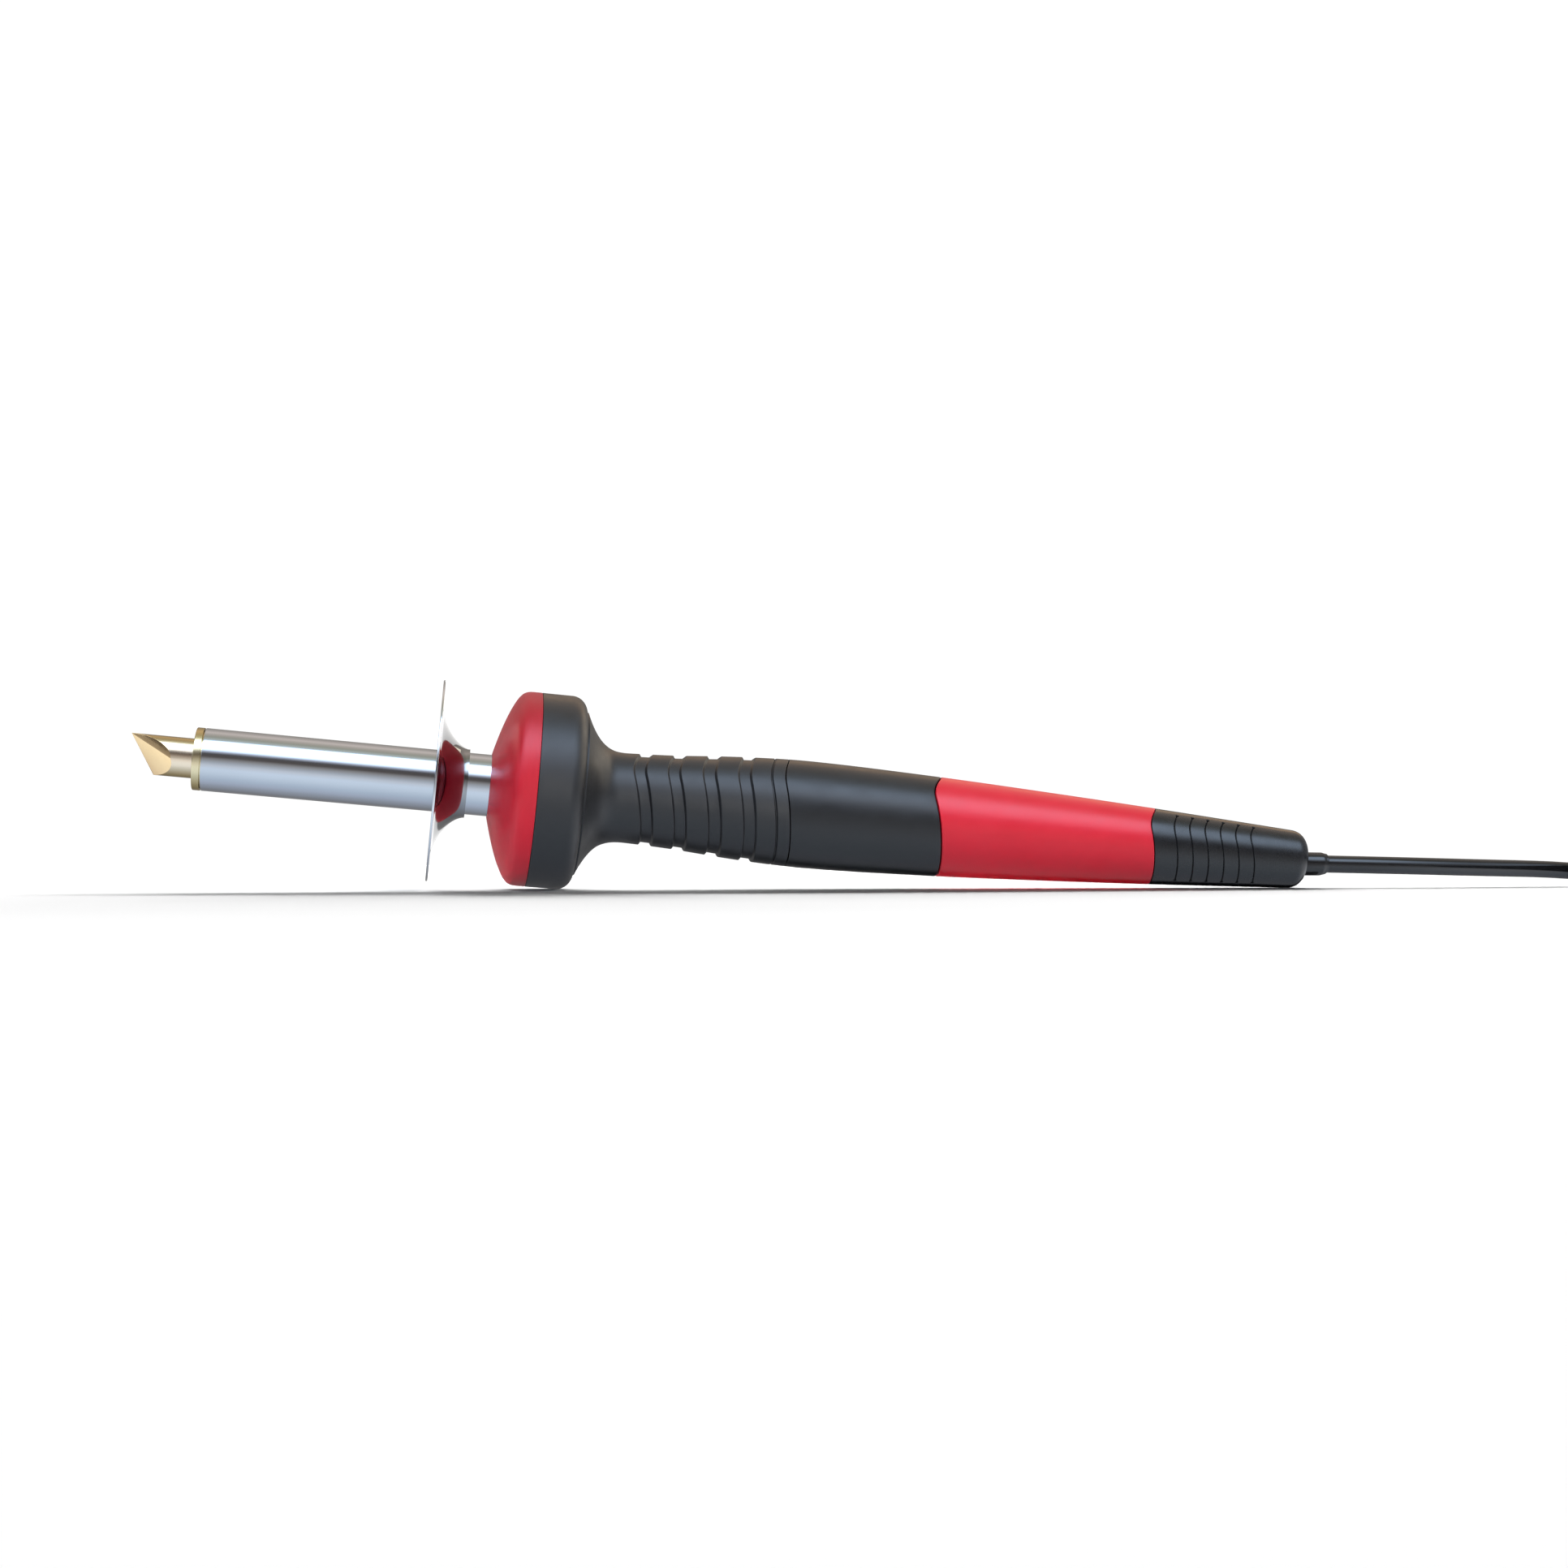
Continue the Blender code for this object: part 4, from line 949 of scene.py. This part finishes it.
def make_grip():
    nose = rounded([(NOSE_FRONT, 22.0), (NOSE_FRONT, NOSE_R, NOSE_LINE_EDGE), (NOSE_EDGE - 2.0, NOSE_R)])[1:]
    for i in range(NOSE_STEPS + 1):
        a = math.radians(90 * i / NOSE_STEPS)
        nose.append((NOSE_EDGE + NOSE_ROUND * math.sin(a), NOSE_R - NOSE_ROUND * (1 - math.cos(a))))
    waist = []
    for k in range(1, WAIST_STEPS):
        x = GRIP_BLEND * (k / WAIST_STEPS) ** WAIST_SPACING
        waist.append((GRIP_FRONT + x, GRIP_WAIST_R + GRIP_RISE * (1 - x / GRIP_BLEND) ** GRIP_CURVE))
    line = [HANDLE[0]]
    for front, back in BANDS:
        a, b = front + BAND_WALL, back - BAND_WALL
        line += [(front, handle_r(front), BAND_EDGE), (a, handle_r(a) - BAND_DEPTH, BAND_FOOT),
                 (b, handle_r(b) - BAND_DEPTH, BAND_FOOT), (back, handle_r(back), BAND_EDGE)]
    floor = handle_r(THIN_LINE) - THIN_LINE_DEPTH
    front, back = THIN_LINE - THIN_LINE_HALF, THIN_LINE + THIN_LINE_HALF
    line += [(front, handle_r(front), THIN_LINE_EDGE), (THIN_LINE - THIN_LINE_FLOOR, floor),
             (THIN_LINE + THIN_LINE_FLOOR, floor), (back, handle_r(back), THIN_LINE_EDGE)]
    end = PART_1 - LINE_GAP
    line += [(end, handle_r(end), LINE_EDGE), (end, bore_r(end))]
    inside = [(BORE_FRONT, bore_r(end)), (BORE_FRONT, BARREL_R + 0.5), (NOSE_FRONT, BARREL_R + 0.5)]
    outline = thick(nose + waist + rounded(line) + inside, STATION_STEP)
    turned("front_grip", outline, MATERIALS["grip"], segments=192, warp=warped)


def make_sleeve(name, front, back, mat, near, far):
    """A handle section between two part lines; its edges are rounded by near and far."""
    count = round((back - front) / STATION_STEP)
    body = [front + (back - front) * k / count for k in range(count + 1)]
    outside = [(u, handle_r(u), near if k == 0 else far if k == count else 0.0)
               for k, u in enumerate(body)]
    inside = [(back, bore_r(back))]
    if front < CORE_TAPER < back:
        inside.append((CORE_TAPER, bore_r(CORE_TAPER)))
    inside.append((front, bore_r(front)))
    turned(name, rounded(outside + inside), mat, segments=192, warp=warped)


REAR_LINE_HALF = 0.2
REAR_LINE_DEPTH = 0.3
REAR_LINE_STATIONS = (0.0, 0.12, 0.24, 0.3, 0.42, 0.55, 0.7)
DOT_R = 0.42
DOT_DEPTH = 1.0


def off_centre(r, a, drop):
    """The distance from the iron's axis, at an angle, of a circle whose centre lies off it."""
    return drop * math.cos(a) + math.sqrt(r * r - (drop * math.sin(a)) ** 2)


def rear_warp(u, r, a):
    """The wave, with the thin lines and the dimples at their ends pressed into the sides."""
    if u > CORE_BACK and r < (POCKET_R + 0.1 if u < POCKET_BACK + 0.1 else TAIL_HOLE_R + 0.3):
        # the pocket and the hole, whose circles are centred on the cord's way out
        return u, off_centre(r, a, DROOP[-2][1])
    at_u, at_r = warped(u, r, a)
    if r <= handle_r(u) - SKIN / 2:
        return at_u, at_r
    angle = from_top(a)
    line = min(REAR_LINES, key=lambda x: abs(x - u))
    off = abs(u - line)
    if REAR_LINE_FROM <= angle <= REAR_LINE_TO and off < REAR_LINE_HALF:
        at_r -= REAR_LINE_DEPTH * (1 - off / REAR_LINE_HALF)
    for end in (REAR_LINE_FROM, REAR_LINE_TO):
        away = math.hypot(u + wave_shift(u, angle) - line - wave_shift(line, end),
                          math.radians(angle - end) * r)
        if away < DOT_R:
            at_r = min(at_r, r - DOT_DEPTH * min(1.0, 2.0 * (1 - away / DOT_R)))
    return at_u, at_r


def make_rear_shell():
    front = PART_3 + LINE_GAP
    stations = {front}
    for line in REAR_LINES:
        for off in REAR_LINE_STATIONS:
            stations |= {round(line - off, 3), round(line + off, 3)}
    u = front + 1.0
    while u < HANDLE[-1][0] - 0.4:
        if min(abs(u - line) for line in REAR_LINES) > 0.9:
            stations.add(u)
        u += 0.8
    outside = [(u, handle_r(u)) for u in sorted(stations)]
    outside = rounded([(*outside[0], LINE_EDGE), *outside[1:]] + [(front, bore_r(front))])[:-1]
    corner_u, corner_r = HANDLE[-1]
    for i in range(TAIL_STEPS + 1):
        a = math.radians(90 * i / TAIL_STEPS)
        outside.append((corner_u + TAIL_ROUND * math.sin(a), corner_r - TAIL_ROUND_IN * (1 - math.cos(a))))
    hole = rounded([outside[-1], (TAIL_BACK, TAIL_HOLE_R, 0.2), (POCKET_BACK, TAIL_HOLE_R),
                    (POCKET_BACK, POCKET_R)])[1:]
    inside = [(CORE_BACK + GAP, POCKET_R), (CORE_BACK + GAP, bore_r(CORE_BACK)), (front, bore_r(front))]
    turned("rear_shell", outside + hole + inside, MATERIALS["tail"], segments=288, warp=rear_warp)


# The sleeve round the cord: its stem, the collar that holds it in the tail, and the stretch outside
RELIEF = [(270.0, 2.55), (270.0, 3.9), (287.1, 3.5),
          (287.1, 4.65), (289.4, 4.65), (289.4, 3.2),
          (290.4, 3.06), (299.1, 3.02, 0.3), (299.9, 2.76, 0.3), (300.5, 2.68, 0.15), (300.5, 2.35),
          (298.0, 2.55)]


def make_relief():
    outline = rounded(RELIEF)
    return turned("strain_relief", thick(outline + outline[:1], 2.0)[:-1], MATERIALS["cord"], segments=96,
                  warp=lambda u, r, a: (u, off_centre(r, a, smooth_value(DROOP, u))))


make_tip()
make_barrel_end()
make_guard()
make_cover()
make_grip()
make_sleeve("middle_shell", PART_1 + LINE_GAP, PART_2 - RED_GAP, MATERIALS["shell"], LINE_EDGE, RED_EDGE)
make_sleeve("red_sleeve", PART_2 + RED_GAP, PART_3 - LINE_GAP, MATERIALS["sleeve"], RED_EDGE, LINE_EDGE)
make_rear_shell()
relief = make_relief()
tie = make_tie()
plug_parts = make_plug()
dress_kept_nodes()


# ---- floor, light and background

FLOOR_LOW = (-0.75, -0.5)
FLOOR_HIGH = (0.95, 0.6)
WHITE = (1.0, 1.0, 1.0)
FLOOR_NEAR = rgb(0.86, 0.86, 0.86)
FLOOR_AHEAD = rgb(*WHITE)  # paler towards the camera, where less of the panels' light reaches it
FLOOR_FADE = (-0.16, -0.39)


def plane(name, low, high, z, mat):
    (x0, y0), (x1, y1) = low, high
    mesh = new_mesh(name, [(x0, y0, z), (x1, y0, z), (x1, y1, z), (x0, y1, z)], [(0, 1, 2, 3)])
    obj = new_object(name, mesh)
    mesh.materials.append(mat)
    return obj


def paper(name, color):
    n = Nodes(name, color, 0.9, Specular_IOR_Level=0.0)
    n.rough(n.noise(400.0), 0.86, 0.94)
    return n


def make_floor():
    n = paper("floor_paper", FLOOR_NEAR)
    coords = n.add("ShaderNodeTexCoord")
    split = n.add("ShaderNodeSeparateXYZ")
    n.link(coords.outputs["Object"], split.inputs["Vector"])
    ahead = n.add("ShaderNodeMapRange")
    ahead.inputs["From Min"].default_value, ahead.inputs["From Max"].default_value = FLOOR_FADE
    n.link(split.outputs["Y"], ahead.inputs["Value"])
    n.color(ahead.outputs["Result"], FLOOR_NEAR, FLOOR_AHEAD, 0.0, 1.0)
    floor = plane("floor", FLOOR_LOW, FLOOR_HIGH, 0.0, n.mat)
    floor.visible_glossy = False  # what polished parts mirror below the horizon is in the sky's bands
    return floor


# Brightness round the iron's axis: (degrees up from the camera's horizon, over the top; colour)
SKY = [
    (-180, (0.34, 0.33, 0.32)),
    (-142, (0.27, 0.27, 0.28)),
    (-110, (0.44, 0.47, 0.53)),
    (-91, (0.58, 0.64, 0.75)),
    (-74, (0.66, 0.76, 0.88)),
    (-46, (0.89, 1.0, 1.12)),
    (-33, (0.94, 1.05, 1.18)),
    (-20, (0.86, 0.9, 0.97)),
    (-9, (0.6, 0.63, 0.67)),
    (3, (0.38, 0.36, 0.35)),
    (12, (0.13, 0.11, 0.1)),
    (23, (0.12, 0.11, 0.11)),
    (30, (0.55, 0.57, 0.66)),
    (38, (1.7, 2.0, 2.4)),
    (47, (3.2, 4.0, 5.1)),
    (68, (3.2, 4.0, 5.1)),
    (77, (0.7, 0.76, 0.72)),
    (92, (0.5, 0.49, 0.39)),
    (103, (0.62, 0.55, 0.46)),
    (119, (0.88, 0.75, 0.66)),
    (135, (0.6, 0.52, 0.46)),
    (150, (0.42, 0.38, 0.34)),
    (180, (0.34, 0.33, 0.32)),
]
# Towards the iron's two ends it is dim above and bright below, and past the cord it is plain
PLAIN_SKY = (1.0, 1.03, 1.1)
PLAIN_FROM, PLAIN_TO = 0.6, 0.85  # how much of the direction is along the iron
ENDS_FROM, ENDS_TO = 0.45, 0.8
ENDS_BELOW, ENDS_ABOVE = 1.45, 0.4
ENDS_FADE = (-0.3, 0.0)  # how much of it is upwards
BACKDROP = 1.05


def make_world():
    world = bpy.data.worlds.new("studio")
    world.use_nodes = True
    bpy.context.scene.world = world
    world.cycles_visibility.diffuse = False
    tree = world.node_tree
    tree.nodes.clear()
    add, link = tree.nodes.new, tree.links.new

    def calculate(operation, source):
        node = add("ShaderNodeMath")
        node.operation = operation
        link(source, node.inputs[0])
        return node

    def spread(source, low, high, first, second):
        node = add("ShaderNodeMapRange")
        for socket, value in (("From Min", low), ("From Max", high), ("To Min", first), ("To Max", second)):
            node.inputs[socket].default_value = value
        link(source, node.inputs["Value"])
        return node

    coords = add("ShaderNodeTexCoord")
    split = add("ShaderNodeSeparateXYZ")
    link(coords.outputs["Generated"], split.inputs["Vector"])
    flip = calculate("MULTIPLY", split.outputs["Y"])
    flip.inputs[1].default_value = -1.0
    turn = calculate("ARCTAN2", split.outputs["Z"])
    link(flip.outputs["Value"], turn.inputs[1])
    ramp = add("ShaderNodeValToRGB")
    fill_ramp(ramp, [((angle + 180) / 360, rgb(*color)) for angle, color in SKY])
    link(spread(turn.outputs["Value"], -math.pi, math.pi, 0.0, 1.0).outputs["Result"], ramp.inputs["Fac"])
    sky = add("ShaderNodeBackground")
    plain = add("ShaderNodeMix")
    plain.data_type = "RGBA"
    share = spread(split.outputs["X"], PLAIN_FROM, PLAIN_TO, 0.0, 1.0)
    link(share.outputs["Result"], plain.inputs["Factor"])
    link(ramp.outputs["Color"], plain.inputs[6])
    plain.inputs[7].default_value = rgb(*PLAIN_SKY)
    link(plain.outputs[2], sky.inputs["Color"])
    size = calculate("ABSOLUTE", split.outputs["X"])
    ends = spread(split.outputs["Z"], *ENDS_FADE, ENDS_BELOW, ENDS_ABOVE)
    strength = spread(size.outputs["Value"], ENDS_FROM, ENDS_TO, 1.0, ENDS_ABOVE)
    link(ends.outputs["Result"], strength.inputs["To Max"])
    link(strength.outputs["Result"], sky.inputs["Strength"])
    backdrop = add("ShaderNodeBackground")
    backdrop.inputs["Color"].default_value = rgb(*WHITE)
    backdrop.inputs["Strength"].default_value = BACKDROP
    seen = add("ShaderNodeLightPath")
    mix = add("ShaderNodeMixShader")
    link(seen.outputs["Is Camera Ray"], mix.inputs["Fac"])
    link(sky.outputs["Background"], mix.inputs[1])
    link(backdrop.outputs["Background"], mix.inputs[2])
    out = add("ShaderNodeOutputWorld")
    link(mix.outputs["Shader"], out.inputs["Surface"])


# Soft panels. The floor's own light is from behind, so that its shadows fall forwards:
# (degrees up from behind, degrees round to the right, width, height, power in watts)
FLOOR_PANELS = [
    (14.0, 10.0, 4.5, 1.1, 277.0),
    (32.5, 4.0, 3.2, 0.8, 289.0),
    (68.0, 0.0, 6.0, 2.4, 22.0),
]
# These light the iron and not the floor: the same, then the pieces that a panel leaves out
FILL_PANELS = [
    ((112.0, 0.0, 7.0, 2.4, 100.0), ("front_cover",)),
    ((173.0, 0.0, 7.0, 2.0, 122.0), ()),
    ((45.0, 0.0, 7.0, 2.4, 125.0), ()),
]
# These are only mirrored, each by the pieces named: from overhead in front, warm from behind for top edges,
# warm from past the cord, and for the hub and the waist
MIRRORED_PANELS = [
    ("front_panel", (138.0, 0.0, 7.0, 1.6, 24.0), (1.0, 0.85, 0.8), ("front_grip", "middle_shell")),
    ("rim_panel", (38.0, 0.0, 7.0, 1.0, 24.0), (1.0, 0.6, 0.28),
     ("front_grip", "middle_shell", "red_sleeve", "rear_shell")),
    ("side_panel", (24.0, 74.0, 4.5, 2.4, 58.0), (1.0, 0.87, 0.68), ("front_grip", "heat_guard")),
    ("hub_panel", (6.0, 27.0, 3.6, 2.6, 26.0), WHITE, ("heat_guard",)),
    ("waist_panel", (173.0, -7.0, 2.0, 2.2, 26.0), WHITE, ("front_grip",)),
]
PANEL_AWAY = 4.0


def make_panel(name, place, color=WHITE, mirrored=False):
    """A panel that faces the iron and either lights it or is only mirrored in it."""
    rise, round_to, width, height, power = place
    light = bpy.data.lights.new(name, "AREA")
    light.shape = "RECTANGLE"
    light.size, light.size_y = width, height
    light.energy, light.color = power, color
    panel = new_object(name, light)
    panel.matrix_world = (Matrix.Rotation(-math.radians(round_to), 4, "Z")
                          @ Matrix.Rotation(math.radians(rise - 90.0), 4, "X")
                          @ Matrix.Translation((0.0, 0.0, PANEL_AWAY)))
    panel.visible_camera = False
    panel.visible_glossy = mirrored
    panel.visible_diffuse = not mirrored
    return panel


def named(names):
    return [obj for obj in bpy.data.objects if obj.name.split(".")[0] in names]


def link_light(panel, objects, state="INCLUDE"):
    group = bpy.data.collections.new(panel.name + "_lights")
    for obj in objects:
        group.objects.link(obj)
    for member in group.collection_objects:
        member.light_linking.link_state = state
    panel.light_linking.receiver_collection = group


def make_panels(floor):
    for piece in named(("front_cover",)):
        piece.visible_diffuse = False  # no red cast on the floor where the nose rests
    for k, place in enumerate(FLOOR_PANELS):
        link_light(make_panel("floor_panel_%d" % k, place), [floor])
    for k, (place, left_out) in enumerate(FILL_PANELS):
        link_light(make_panel("fill_panel_%d" % k, place), [floor] + named(left_out), "EXCLUDE")
    for name, place, color, lit in MIRRORED_PANELS:
        link_light(make_panel(name, place, color, mirrored=True), named(lit))


# A dark strip that stands for the contact shadow where smooth plastic mirrors the floor
SHADE_FROM = (-0.03, -0.0028)
SHADE_TO = (0.151, 0.006)
SHADE_Z = 0.00005
SHADE_COLOR = rgb(0.02, 0.02, 0.02)


def make_shade():
    shade = plane("contact_shade", SHADE_FROM, SHADE_TO, SHADE_Z, paper("contact_shade", SHADE_COLOR).mat)
    shade.visible_camera = False
    shade.visible_diffuse = False
    shade.visible_shadow = False


make_world()
make_panels(make_floor())
make_shade()
bpy.context.scene.view_settings.view_transform = "Standard"
bpy.context.scene.view_settings.look = "None"
